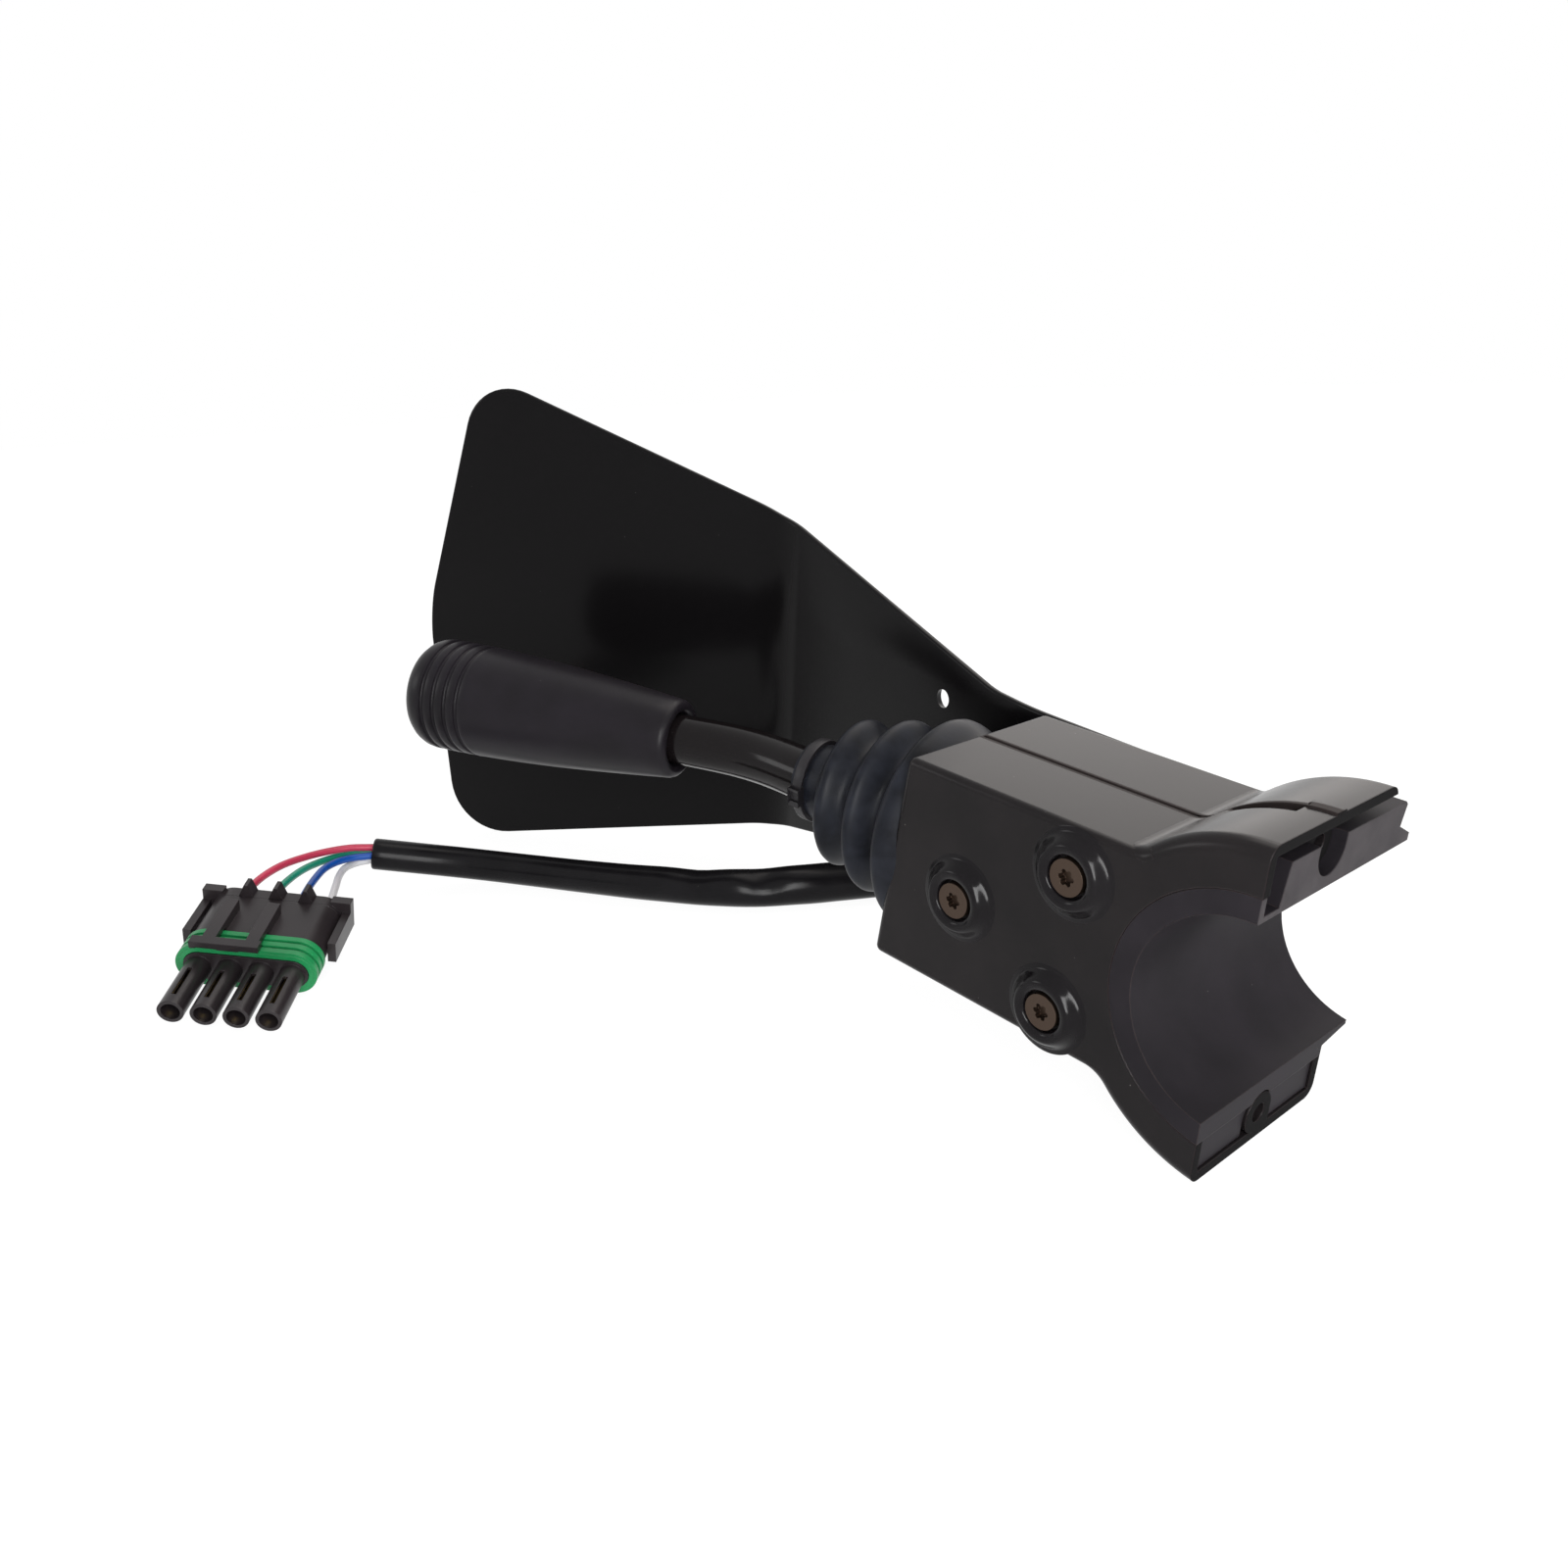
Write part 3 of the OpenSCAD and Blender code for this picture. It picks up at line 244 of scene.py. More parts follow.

# %% [markdown]
# ## Painted shade on the case, and a lighter end on the saddle
# The two shells meet along the middle of the top. The groove is in the solids, and a dark brown, dull band
# of painted shade lies to each side of it. The ends of the jaws face the right lamp, and painted shade
# keeps them dull and black. The end of the saddle's upper block is painted a lighter grey in mottled
# patches. All three
# are overlays: a mask from Object coordinates, or from the way a face looks, mixes another colour and gloss
# into the finish. Painted image maps could do this too, but a mask needs no file and stays sharp at any
# size.

# %% Overlay helper
def overlay(material, mask, colour, gloss):
    tree = material.node_tree
    shader = tree.nodes["Principled BSDF"]
    for name, value in (("Base Color", linear(colour)), ("Roughness", (gloss, gloss, gloss, 1))):
        before = shader.inputs[name].links[0].from_socket
        tree.links.new(mixed(tree, mask, before, value), shader.inputs[name])


OUTWARD = TIP.to_3x3().normalized() @ Vector((1, 0, 0))
print("the jaws look along", [round(v, 3) for v in OUTWARD])

# %% Painted shade by the seam and on the jaw ends
# A dark brown band to each side of the seam groove is painted shade
SEAM_SPAN = (1.1 / MM, 1.6 / MM)
SEAM_SHARE = 0.9
CASE_TOP_SPAN = (15 / MM, 18 / MM)
LOWER_JAW_END = -3 / MM
FACING_SPAN = (0.8, 0.95)
tree = case_nylon.node_tree
coords = add(tree, "ShaderNodeTexCoord").outputs
spot = add(tree, "ShaderNodeSeparateXYZ", {"Vector": coords["Object"]}).outputs
from_seam = add(tree, "ShaderNodeMath", {0: spot["Y"]}, operation="ABSOLUTE").outputs["Value"]
seam_shade = ramp(tree, from_seam, *SEAM_SPAN, SEAM_SHARE, 0.0)
on_top = ramp(tree, spot["Z"], *CASE_TOP_SPAN)
overlay(case_nylon, joined(tree, "MULTIPLY", seam_shade, on_top), "#272120", 0.7)

# Painted shade: the jaw ends that face the right lamp are darkened to black and made dull
facing_out = ramp(tree, dot(tree, coords["Normal"], OUTWARD), *FACING_SPAN)
reach = dot(tree, coords["Object"], OUTWARD)
jaw_end_shade = ramp(tree, reach, LOWER_JAW_END - 0.4 / MM, LOWER_JAW_END - 0.2 / MM)
overlay(case_nylon, joined(tree, "MULTIPLY", facing_out, jaw_end_shade), "#0b0a0b", 0.95)
print("overlays on", case_nylon.name)

# %% Lighter end of the saddle block
BLOCK_END = 0.6 / MM
MOTTLE_MM = 7
MOTTLE_SPAN = (0.35, 0.65)
MOTTLE_SHARES = (0.55, 1.0)
tree = saddle_nylon.node_tree
place = add(tree, "ShaderNodeTexCoord").outputs["Object"]
# The end of the upper block is painted a lighter grey in mottled patches
on_end = ramp(tree, dot(tree, place, OUTWARD), BLOCK_END - 0.3 / MM, BLOCK_END - 0.1 / MM)
lightened = ramp(tree, noise(tree, place, MOTTLE_MM, 4.0), *MOTTLE_SPAN, *MOTTLE_SHARES)
overlay(saddle_nylon, joined(tree, "MULTIPLY", on_end, lightened), "#3f3c3e", 0.55)
print("overlay on", saddle_nylon.name)

# %% [markdown]
# ## Rubber, seal and wire covers
# The boot is moulded rubber with a bloom: a pale bluish dust that gathers in its folds. The seal is bright
# green silicone. Wire covers are glossy vinyl in one colour each. The same recipe does them all, with
# other grains.

# %% Rubber and vinyl finishes
# Bloomed rubber: blue-black, in small clouds
boot_rubber = moulded("bloomed_boot_rubber", "#0c0d11", "#22242b", (0.34, 0.48), grain_mm=0.7,
                      depth_mm=0.03, dust=0.3, ior=1.2, cloud_mm=8)
# Gland rubber: greyer and duller than the boot
gland_rubber = moulded("gland_rubber", "#1c1b1d", "#242325", (0.5, 0.58), grain_mm=0.6,
                       depth_mm=0.03, edge_mm=0.3)
# Silicone keeps a strong, even green
seal_silicone = moulded("green_silicone_seal", "#14713f", "#1d8a50", (0.34, 0.42), grain_mm=0.5,
                        depth_mm=0.02, edge_mm=0.25, ior=1.41)
# The sleeve's thin vinyl is glossy, with a coarse, shallow waviness that breaks its long streak of light
sleeve_vinyl = moulded("soft_vinyl_sleeve", "#111012", "#181719", (0.2, 0.28), grain_mm=3.2,
                       depth_mm=0.015, dust=0.15, ior=1.2, cloud_mm=14)
# Wire vinyl: clear colours with a soft gloss
wire_colours = {
    "red": ("#b3304c", "#c63f5a"),
    "green": ("#1a8468", "#23957a"),
    "blue": ("#0c4594", "#1153ae"),
    "white": ("#cfcfd2", "#dddddf"),
}
covers = {}
for colour, (dark, pale) in wire_colours.items():
    covers["wire_" + colour] = moulded(colour + "_wire_vinyl", dark, pale, (0.3, 0.36), grain_mm=0.4,
                                       depth_mm=0.01)
print("wire covers", sorted(covers))

# %% [markdown]
# ## Paint on the guard and the rod
# The guard is a sheet with semi-gloss black paint. It is smooth enough to give a dim mirror image of the
# grip, and its faint orange peel, 3 mm across, breaks the image up. The rod is glossier.

# %% Painted finishes
def painted(name, colour, gloss, peel_mm, ior):
    return moulded(name, colour, colour, gloss, peel_mm, depth_mm=0.004, dust=0.12, ior=ior, cloud_mm=40)


guard_paint = painted("semi_gloss_black_paint", "#0e0d0e", (0.17, 0.24), peel_mm=3.0, ior=1.18)
rod_paint = painted("gloss_black_paint", "#110e0f", (0.1, 0.16), peel_mm=2.0, ior=1.24)
print("paints", guard_paint.name, rod_paint.name)

# %% [markdown]
# ## Metals and the board
# The case screws have a brown zinc finish. The pieces inside the case are seldom seen, but they still get
# their own metals: die-cast alloy, ground steel, spring wire, bronze, nickel and brass. Fine marks vary
# the gloss.

# %% Metal recipe
METAL_EDGE_MM = 0.2
MARK_DEPTH_MM = 0.01
MARK_STRENGTH = 0.4


def metal(name, colour, gloss, mark_mm):
    made, tree, shader = new_material(name)
    place = add(tree, "ShaderNodeTexCoord").outputs["Object"]
    marks = noise(tree, place, mark_mm, 4.0)
    soft = add(tree, "ShaderNodeBevel", {"Radius": METAL_EDGE_MM / MM}, samples=4)
    bump = add(tree, "ShaderNodeBump", {
        "Height": marks, "Strength": MARK_STRENGTH, "Distance": MARK_DEPTH_MM / MM,
        "Normal": soft.outputs["Normal"]})
    tree.links.new(ramp(tree, marks, *CLOUD_SPAN, *gloss), shader.inputs["Roughness"])
    tree.links.new(bump.outputs["Normal"], shader.inputs["Normal"])
    shader.inputs["Base Color"].default_value = linear(colour)
    shader.inputs["Metallic"].default_value = 1.0
    return made


print("recipe", metal.__name__)

# %% Metal and board finishes
# Brown zinc: the warm, dull heads of the case screws
bronzed_steel = metal("brown_zinc_steel", "#4b3f37", (0.42, 0.55), mark_mm=0.5)
# Blackened steel: dark heads that still shine at their edges
black_steel = metal("blackened_steel", "#2f2d2e", (0.4, 0.5), mark_mm=0.5)
# Die-cast alloy: a dull bluish grey
die_cast = metal("die_cast_alloy", "#8d8f94", (0.45, 0.6), mark_mm=0.8)
# Ground steel and spring wire: bright and fine
ground_steel = metal("ground_steel", "#b9bbbf", (0.25, 0.35), mark_mm=0.4)
spring_wire = metal("drawn_spring_wire", "#a9abb0", (0.25, 0.35), mark_mm=0.4)
# Sintered bronze: a matt gold brown
bronze = metal("sintered_bronze", "#b08d57", (0.45, 0.6), mark_mm=0.6)
# Nickel plate: close to a mirror
nickel = metal("nickel_plate", "#a6a8ad", (0.15, 0.25), mark_mm=0.6)
# Tinned brass: pale gold contacts
brass = metal("tinned_brass", "#c2a869", (0.3, 0.4), mark_mm=0.4)
# Board laminate: a dull green
laminate = moulded("green_board_laminate", "#28603d", "#2f6b45", (0.3, 0.4), grain_mm=0.8,
                   depth_mm=0.01, edge_mm=0.1)
print("materials in all, with those of the solids", len(bpy.data.materials))

# %% [markdown]
# ## Finishes on the solids that stay
# A solid whose form is right keeps its mesh and only swaps its material. The case shells, saddle, screws,
# gland, connector and rod are such solids, and so is all that hides inside the case.

# %% Paint the solids
kept = {
    case_nylon: ("front_shell", "rear_shell"),
    saddle_nylon: ("column_saddle",),
    bronzed_steel: ("shell_screws",),
    black_steel: ("guard_screws",),
    gland_rubber: ("cable_gland",),
    connector_nylon: ("connector_body", "connector_lock"),
    seal_silicone: ("connector_seal", "wire_seals"),
    die_cast: ("selector_yoke",),
    ground_steel: ("pivot_shaft", "lift_pin", "detent_plunger", "board_screws"),
    spring_wire: ("lift_spring", "detent_spring"),
    bronze: ("pivot_bushes",),
    nickel: ("yoke_magnet",),
    brass: ("terminals",),
    laminate: ("sensor_board",),
    covers["wire_white"]: ("board_leads",),
    rod_paint: ("lever_rod",),
}
for material, names in kept.items():
    for name in names:
        slots = nodes[name].data.materials
        slots.clear()
        slots.append(material)
print("solids painted", sum(len(names) for names in kept.values()))

# %% [markdown]
# ## Finishing a new piece
# Each new piece is drawn in a bmesh in the square frame. This helper tips it into place, smooths its
# shading up to a given angle, gives it its finish, lets it ride on its body and hides the solid that it
# stands for.

# %% Piece helper
MERGE_MM = 0.001


def piece(name, bm, material, body, replaced=(), crease=35, matrix=TIP):
    bmesh.ops.remove_doubles(bm, verts=bm.verts, dist=MERGE_MM)
    bmesh.ops.recalc_face_normals(bm, faces=bm.faces)
    bm.transform(matrix)
    mesh = bpy.data.meshes.new(name)
    bm.to_mesh(mesh)
    bm.free()
    mesh.shade_smooth()
    mesh.set_sharp_from_angle(angle=math.radians(crease))
    mesh.materials.append(material)
    made = bpy.data.objects.new(name, mesh)
    bpy.context.collection.objects.link(made)
    if replaced:
        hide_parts(*replaced)
    if body:
        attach(made, body)
    print(name, len(mesh.polygons), "faces")
    return made


print("points merge within", MERGE_MM, "mm")

# %% [markdown]
# ## The lead
# A soft vinyl sleeve leaves the rear of the case, drops to the table, passes under the guard and comes
# forward. Four thin wires leave its end and bend down into the connector. The sleeve is a tube of rings
# along a smooth curve. It is soft and thin-walled, so it is fuller in the middle of its run than at its
# end, and two dents are pressed into its top there: each vertex near a dent's middle moves inwards, less
# the further away it is.

# %% Routes and tube helper
def smooth_route(points, steps):
    ends = [2 * Vector(points[0]) - Vector(points[1])] + [Vector(p) for p in points]
    ends.append(2 * Vector(points[-1]) - Vector(points[-2]))
    route = []
    for a, b, c, d in zip(ends, ends[1:], ends[2:], ends[3:]):
        for i in range(steps):
            t = i / steps
            route.append(0.5 * (2 * b + (c - a) * t + (2 * a - 5 * b + 4 * c - d) * t * t
                                + (3 * b - a - 3 * c + d) * t ** 3))
    return route + [Vector(points[-1])]


def route_length(route):
    return sum((b - a).length for a, b in zip(route, route[1:]))


def close_rings(bm, rings):
    for ring, following in zip(rings, rings[1:]):
        bmesh.ops.bridge_loops(bm, edges=ring + following)
    for end in (rings[0], rings[-1]):
        bmesh.ops.contextual_create(bm, geom=end)


def tube(bm, route, half_sizes, sides):
    rings = []
    for i, point in enumerate(route):
        ahead = (route[min(i + 1, len(route) - 1)] - route[max(i - 1, 0)]).normalized()
        side = ahead.cross(Vector((0, 0, 1))).normalized()
        up = side.cross(ahead)
        wide, high = half_sizes(i / (len(route) - 1))
        axes = Matrix((side * wide, up * high, ahead)).transposed().to_4x4()
        at = Matrix.Translation(point) @ axes
        ring = bmesh.ops.create_circle(bm, segments=sides, radius=1, matrix=at)
        rings.append(list({edge for vert in ring["verts"] for edge in vert.link_edges}))
    close_rings(bm, rings)


print("helpers", [helper.__name__ for helper in (smooth_route, route_length, close_rings, tube)])

# %% Sleeve
# The lead lies on the table, so its points are in the table's frame and aren't tipped
sleeve_points = [
    (-42.2, 26, 4.8), (-42.2, 34, 4.8), (-42.2, 44, 4.7), (-43, 54, 2.7), (-46, 64, -2.5),
    (-52, 73, -9.5), (-62, 80, -17.5), (-75, 84, -24.8), (-90, 84, -29.8), (-106, 80, -31),
    (-121, 73, -31), (-135, 63, -31), (-146.5, 51.5, -31), (-155.5, 39, -30.9), (-162, 29, -30.6),
    (-168.4, 18.9, -30.4), (-180.4, 4.3, -30.3), (-202.3, -10.1, -30.5), (-223, -20.7, -30.8),
    (-241, -31, -30.3), (-251.5, -38.7, -29.3), (-260.7, -48.4, -27.3), (-272.7, -67, -22.5)]
sleeve_route = smooth_route(sleeve_points, 8)
SLEEVE_R = 4.9
SWELL_AT, SWELL_SPREAD = 0.66, 0.12
SWELL_WIDE, SWELL_HIGH = 1.0, 1.15
SLEEVE_END_ROUND = 0.9
# Each dent: its middle, the way it is pressed, how far it spreads and how deep it is
sleeve_dents = [
    ((-189.5, -4.5, -25.5), (-0.25, 0.4, -0.88), 6.5, 1.4),
    ((-172, 8, -26.5), (-0.5, 0.45, -0.74), 5.5, 1.7)]


def sleeve_half(t):
    swell = math.exp(-((t - SWELL_AT) / SWELL_SPREAD) ** 2)
    return SLEEVE_R + SWELL_WIDE * swell, SLEEVE_R + SWELL_HIGH * swell


bm = bmesh.new()
tube(bm, sleeve_route, sleeve_half, 28)
caps = [face for face in bm.faces if len(face.verts) > 4]
cap_edges = list({edge for face in caps for edge in face.edges})
bmesh.ops.bevel(bm, geom=cap_edges, offset=SLEEVE_END_ROUND, segments=4, profile=0.5, affect="EDGES",
                material=-1)
for middle, inward, spread, depth in sleeve_dents:
    for vert in bm.verts:
        share = math.exp(-((vert.co - Vector(middle)).length / spread) ** 2)
        vert.co += Vector(inward) * depth * share
sleeve = piece("cable_sleeve_soft", bm, sleeve_vinyl, "housing", ("cable_sleeve",),
               crease=60, matrix=TO_METRES)
print("sleeve length", round(route_length(sleeve_route)), "mm")

# %% Wires
wire_points = {
    "wire_red": [
        (-272.5, -66.5, -20.5), (-275, -73, -19.5), (-276, -80, -19), (-275, -87.5, -18.5),
        (-272, -95.5, -18), (-267, -103.5, -18.2), (-260.2, -111.1, -19.1), (-255.8, -115, -20.2)],
    "wire_green": [
        (-274.4, -66, -22.5), (-276.5, -72, -22), (-276, -78.5, -21.5), (-273, -85.5, -20.8),
        (-268, -92, -20), (-262, -98.7, -19.9), (-255.2, -105.1, -20.4), (-250.8, -109, -21.5)],
    "wire_blue": [
        (-271, -68, -22.5), (-272.5, -73.5, -22), (-271.5, -79, -21.5), (-268, -84.5, -21.2),
        (-262.5, -89.5, -21.2), (-256.5, -94.2, -21.3), (-250.1, -99, -21.8), (-245.7, -102.9, -22.9)],
    "wire_white": [
        (-273, -67.5, -24.5), (-274, -72.5, -24.5), (-271.5, -77, -24.2), (-266, -81.2, -24),
        (-259.5, -84.8, -23.6), (-252.5, -88.6, -23.2), (-245.1, -92.9, -23.2), (-240.7, -96.8, -24.3)],
}
WIRE_R = 1.1
wires = []
for name, points in wire_points.items():
    route = smooth_route(points, 6)
    bm = bmesh.new()
    tube(bm, route, lambda t: (WIRE_R, WIRE_R), 16)
    wire = piece(name + "_cover", bm, covers[name], "housing", (name,),
                 crease=60, matrix=TO_METRES)
    wires.append((wire, route))

for wire, route in wires:
    print(wire.name, round(route_length(route)), "mm")

# %% [markdown]
# ## The boot
# The real boot is a moulded rubber bellows with three folds. A closed profile, out along the folds and
# back along the inside of the wall, is spun round the lever. Rubber folds have full round crests, so the
# radius climbs steeply out of each valley and flattens at the crest. The lever leans to the front and
# squeezes the folds there, so each ring is sheared back on that side, and the slack bulges a little
# upwards. The boot spans two joints, so it is cut in two at a valley: the lower half lies between the
# case and the selector, the upper one between selector and lever. The root of the lower half is tucked
# behind the end of the case.

# %% Boot profile
# Place along the lever and radius of each crest and valley
boot_folds = [(2, 22.4), (12, 25.9), (19.4, 16.8), (26, 22), (32.4, 14.8), (39, 19), (46, 9.9), (55, 9.6)]
BOOT_SPLIT = 19.4
BOOT_WALL = 1.6
BOOT_INNER_R = 7.1
FOLD_FULLNESS = 1.8
FOLD_STEPS = 9


def fold_profile(folds):
    line = []
    for (s0, r0), (s1, r1) in zip(folds, folds[1:]):
        for i in range(FOLD_STEPS):
            t = i / FOLD_STEPS
            up = math.sin(math.pi / 2 * (t if r1 > r0 else 1 - t)) ** FOLD_FULLNESS
            climb = up if r1 > r0 else 1 - up
            line.append((s0 + t * (s1 - s0), r0 + climb * (r1 - r0)))
    return line + [folds[-1]]


outer = fold_profile(boot_folds)
inner = [(s, max(r - BOOT_WALL, BOOT_INNER_R)) for s, r in outer]
print("boot profile points", len(outer) + len(inner))


# %% Spinning, cutting and leaning
def spun(bm, line, steps, closed=True):
    verts = [bm.verts.new((s, 0, r)) for s, r in line]
    edges = [bm.edges.new(pair) for pair in zip(verts, verts[1:])]
    if closed:
        edges.append(bm.edges.new((verts[-1], verts[0])))
    bmesh.ops.spin(bm, geom=verts + edges, cent=(0, 0, 0), axis=(1, 0, 0), angle=2 * math.pi, steps=steps,
                   use_merge=True)


def sliced(bm, point, normal, clear_outer=False):
    whole = bm.verts[:] + bm.edges[:] + bm.faces[:]
    done = bmesh.ops.bisect_plane(bm, geom=whole, plane_co=point, plane_no=normal, clear_outer=clear_outer)
    return done["geom_cut"]


def cut_off(bm, point, normal):
    cut = sliced(bm, point, normal, clear_outer=True)
    edges = [item for item in cut if isinstance(item, bmesh.types.BMEdge)]
    bmesh.ops.bridge_loops(bm, edges=edges)


NECK_AT = 52
FRONT_LEAN = 0.2
LEAN_RATE = 1.3
TOP_RISE = 1.5


def leaned(bm):
    for vert in bm.verts:
        along = min(1, max(0, vert.co.x / NECK_AT))
        vert.co.x -= FRONT_LEAN * vert.co.y * min(1, along * LEAN_RATE)
        vert.co.z += TOP_RISE * (1 - along ** 2)


print("helpers", [helper.__name__ for helper in (spun, sliced, cut_off, leaned)])

# %% Spin, cut and place the boot
# The sloped end of the case: a point on it and the way it looks
END_POINT = Vector((-88.68, 0, 0))
END_OUT = Vector((-0.99315, 0, 0.11684))
ROOT_DEPTH = 3
halves = {}
for half, turn in (("lower", 1), ("upper", -1)):
    bm = bmesh.new()
    spun(bm, outer + inner[::-1], 96)
    cut_off(bm, (BOOT_SPLIT, 0, 0), (turn, 0, 0))
    leaned(bm)
    bm.transform(LEVER)
    if half == "lower":
        cut_off(bm, END_POINT - END_OUT * ROOT_DEPTH, -END_OUT)
    halves[half] = piece("boot_" + half, bm, boot_rubber, None, ("boot",), crease=60)
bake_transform(halves["lower"])
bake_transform(halves["upper"])

# %% [markdown]
# ## The tie
# A nylon cable tie holds the neck of the boot. Its band has fine teeth across it, and its square lock
# head, with the dark slot that the band passes through, sits at the front. The band is spun like the boot,
# and every second face of its outside is raised, so that no tooth has to be cut.

# %% Tie
TIE_HALF = 1.5
BAND_IN, BAND_SHOULDER, BAND_OUT = 9.7, 10.8, 11.1
BAND_CORNER = 0.3
OUTSIDE_R = 10.5
TOOTH = 0.2
HEAD_TURN = math.radians(-94)
HEAD_AT = 10.9
HEAD_SIZE = (3.8, 4.8, 2.8, 1)
SLOT_FRAME, SLOT_DEPTH = 0.7, 1.1
start, stop = NECK_AT - TIE_HALF, NECK_AT + TIE_HALF
band = [(start, BAND_IN), (start, BAND_SHOULDER), (start + BAND_CORNER, BAND_OUT),
        (stop - BAND_CORNER, BAND_OUT), (stop, BAND_SHOULDER), (stop, BAND_IN)]


def looks_out(face):
    return abs(face.normal.x) < 0.1 and face.calc_center_median().yz.length > OUTSIDE_R


bm = bmesh.new()
spun(bm, band, 120)
teeth = [face for face in bm.faces if looks_out(face)]
for number, face in enumerate(sorted(teeth, key=lambda f: math.atan2(*f.calc_center_median().yz))):
    if number % 2:
        bmesh.ops.translate(bm, verts=face.verts, vec=face.normal * TOOTH)
head_turn = Matrix.Translation((NECK_AT, 0, 0)) @ Matrix.Rotation(HEAD_TURN, 4, "X")
head_place = head_turn @ Matrix.Translation((0, 0, HEAD_AT)) @ Matrix.Diagonal(HEAD_SIZE)
head = bmesh.ops.create_cube(bm, size=1, matrix=head_place)
head_faces = list({face for vert in head["verts"] for face in vert.link_faces})
for face in [f for f in head_faces if looks_out(f)]:
    bmesh.ops.inset_region(bm, faces=[face], thickness=SLOT_FRAME)
    bmesh.ops.translate(bm, verts=face.verts, vec=-face.normal * SLOT_DEPTH)
leaned(bm)
bm.transform(LEVER)
piece("boot_tie_band", bm, tie_nylon, "lever", ("boot_tie",), crease=30)

# %% [markdown]
# ## The grip
# The grip is a soft vinyl moulding pushed on the rod. It swells from a lipped mouth to a domed end with
# four round grooves. Its outline is spun in one go, with the grooves drawn as half circles, so that they
# catch the light as real cuts do.

# %% Grip profile and spin
MOUTH_R, END_R = 10.9, 16.35
FULL_AT = 77
GROOVES = (64.5, 68.4, 72.3, 76.2)
GROOVE_R, GROOVE_SINK, GROOVE_LIP = 0.75, 0.12, 0.35
SHOULDER_AT, SHOULDER_R = 78, 6.6


def side_r(x):
    return MOUTH_R + (END_R - MOUTH_R) * math.sin(math.pi / 2 * min(1, x / FULL_AT))


outline = [(12, 7.2), (1.5, 7.3), (0.5, 7.9), (0, 8.9), (0.2, 9.9), (0.9, 10.7)]
outline += [(x, side_r(x)) for x in (2, 6, 10, 15, 20, 26, 32, 38, 44, 50, 56, 60, 62.5)]
for x in GROOVES:
    outline.append((x - GROOVE_R - GROOVE_LIP, side_r(x)))
    for turn in range(0, 181, 30):
        angle = math.radians(turn)
        radius = side_r(x) - GROOVE_SINK - GROOVE_R * math.sin(angle)
        outline.append((x - GROOVE_R * math.cos(angle), radius))
    outline.append((x + GROOVE_R + GROOVE_LIP, side_r(x)))
outline.append((SHOULDER_AT, END_R))
for turn in range(15, 91, 15):
    angle = math.radians(turn)
    radius = END_R - SHOULDER_R + SHOULDER_R * math.cos(angle)
    outline.append((SHOULDER_AT + SHOULDER_R * math.sin(angle), radius))
outline += [(85.2, 7), (85.7, 3.5), (85.9, 0)]
bm = bmesh.new()
spun(bm, outline, 96, closed=False)
bm.transform(GRIP)
piece("grip_moulding", bm, grip_vinyl, "lever", ("grip",), crease=40)

# %% [markdown]
# ## The guard
# The guard is a folded sheet. It is drawn flat as one outline, its corners are rounded, cuts are made
# where it will bend and for its hole, and it is extruded to its 2 mm with broken edges. Then each point is
# carried round the two folds, with its height over the middle of the sheet kept. Drawing it flat first is
# how the sheet itself is made.

# %% Flat pattern
SHEET = 2
# Each fold: the place of its middle, the heading after it in degrees and half its length
FOLDS = ((38, 9.4, 6), (153, -33, 10))
FOLD_CUTS = 12
# Each corner: place along the sheet, place across it and radius
corners = [(0, -24.6, 6), (52, -26.2, 24), (153, -51.5, 30), (271.2, -73.7, 18), (275.8, 8, 60),
           (252.3, 87, 16), (153, 51.5, 30), (52, 26.2, 24), (0, 24.6, 6)]
bm = bmesh.new()
verts = [bm.verts.new((u, -SHEET / 2, z)) for u, z, r in corners]
bm.faces.new(verts)
for vert, (u, z, r) in zip(verts, corners):
    ways = [(edge.other_vert(vert).co - vert.co).normalized() for edge in vert.link_edges]
    reach = r / math.tan(ways[0].angle(ways[1]) / 2)
    bmesh.ops.bevel(bm, geom=[vert], offset=reach, segments=12, profile=0.5, affect="VERTICES", material=-1)
for centre, turn, half in FOLDS:
    for step in range(FOLD_CUTS + 1):
        at = centre - half + 2 * half * step / FOLD_CUTS
        sliced(bm, (at, 0, 0), (1, 0, 0))
print("flat guard faces", len(bm.faces))

# %% Hole in the sheet
HOLE = Vector((70.9, -SHEET / 2, 18))
HOLE_R = 2.5
HOLE_SIDES = 32
FRAME_HALF = 4
for side, way in ((-1, (1, 0, 0)), (1, (1, 0, 0)), (-1, (0, 0, 1)), (1, (0, 0, 1))):
    sliced(bm, HOLE + Vector(way) * side * FRAME_HALF, way)
square = min(bm.faces, key=lambda face: (face.calc_center_median() - HOLE).length)
bmesh.ops.delete(bm, geom=[square], context="FACES_ONLY")


def hole_rim(bm):
    open_edges = [edge for edge in bm.edges if edge.is_boundary]
    return [edge for edge in open_edges if (edge.verts[0].co - HOLE).length < 1.5 * FRAME_HALF]


bmesh.ops.subdivide_edges(bm, edges=hole_rim(bm), cuts=HOLE_SIDES // 4 - 1)
rim = hole_rim(bm)
hole_place = Matrix.Translation(HOLE) @ Matrix.Rotation(math.pi / 2, 4, "X")
ring = bmesh.ops.create_circle(bm, segments=HOLE_SIDES, radius=HOLE_R, matrix=hole_place)
ring_edges = list({edge for vert in ring["verts"] for edge in vert.link_edges})
bmesh.ops.bridge_loops(bm, edges=rim + ring_edges)
print("flat guard faces with the hole", len(bm.faces))

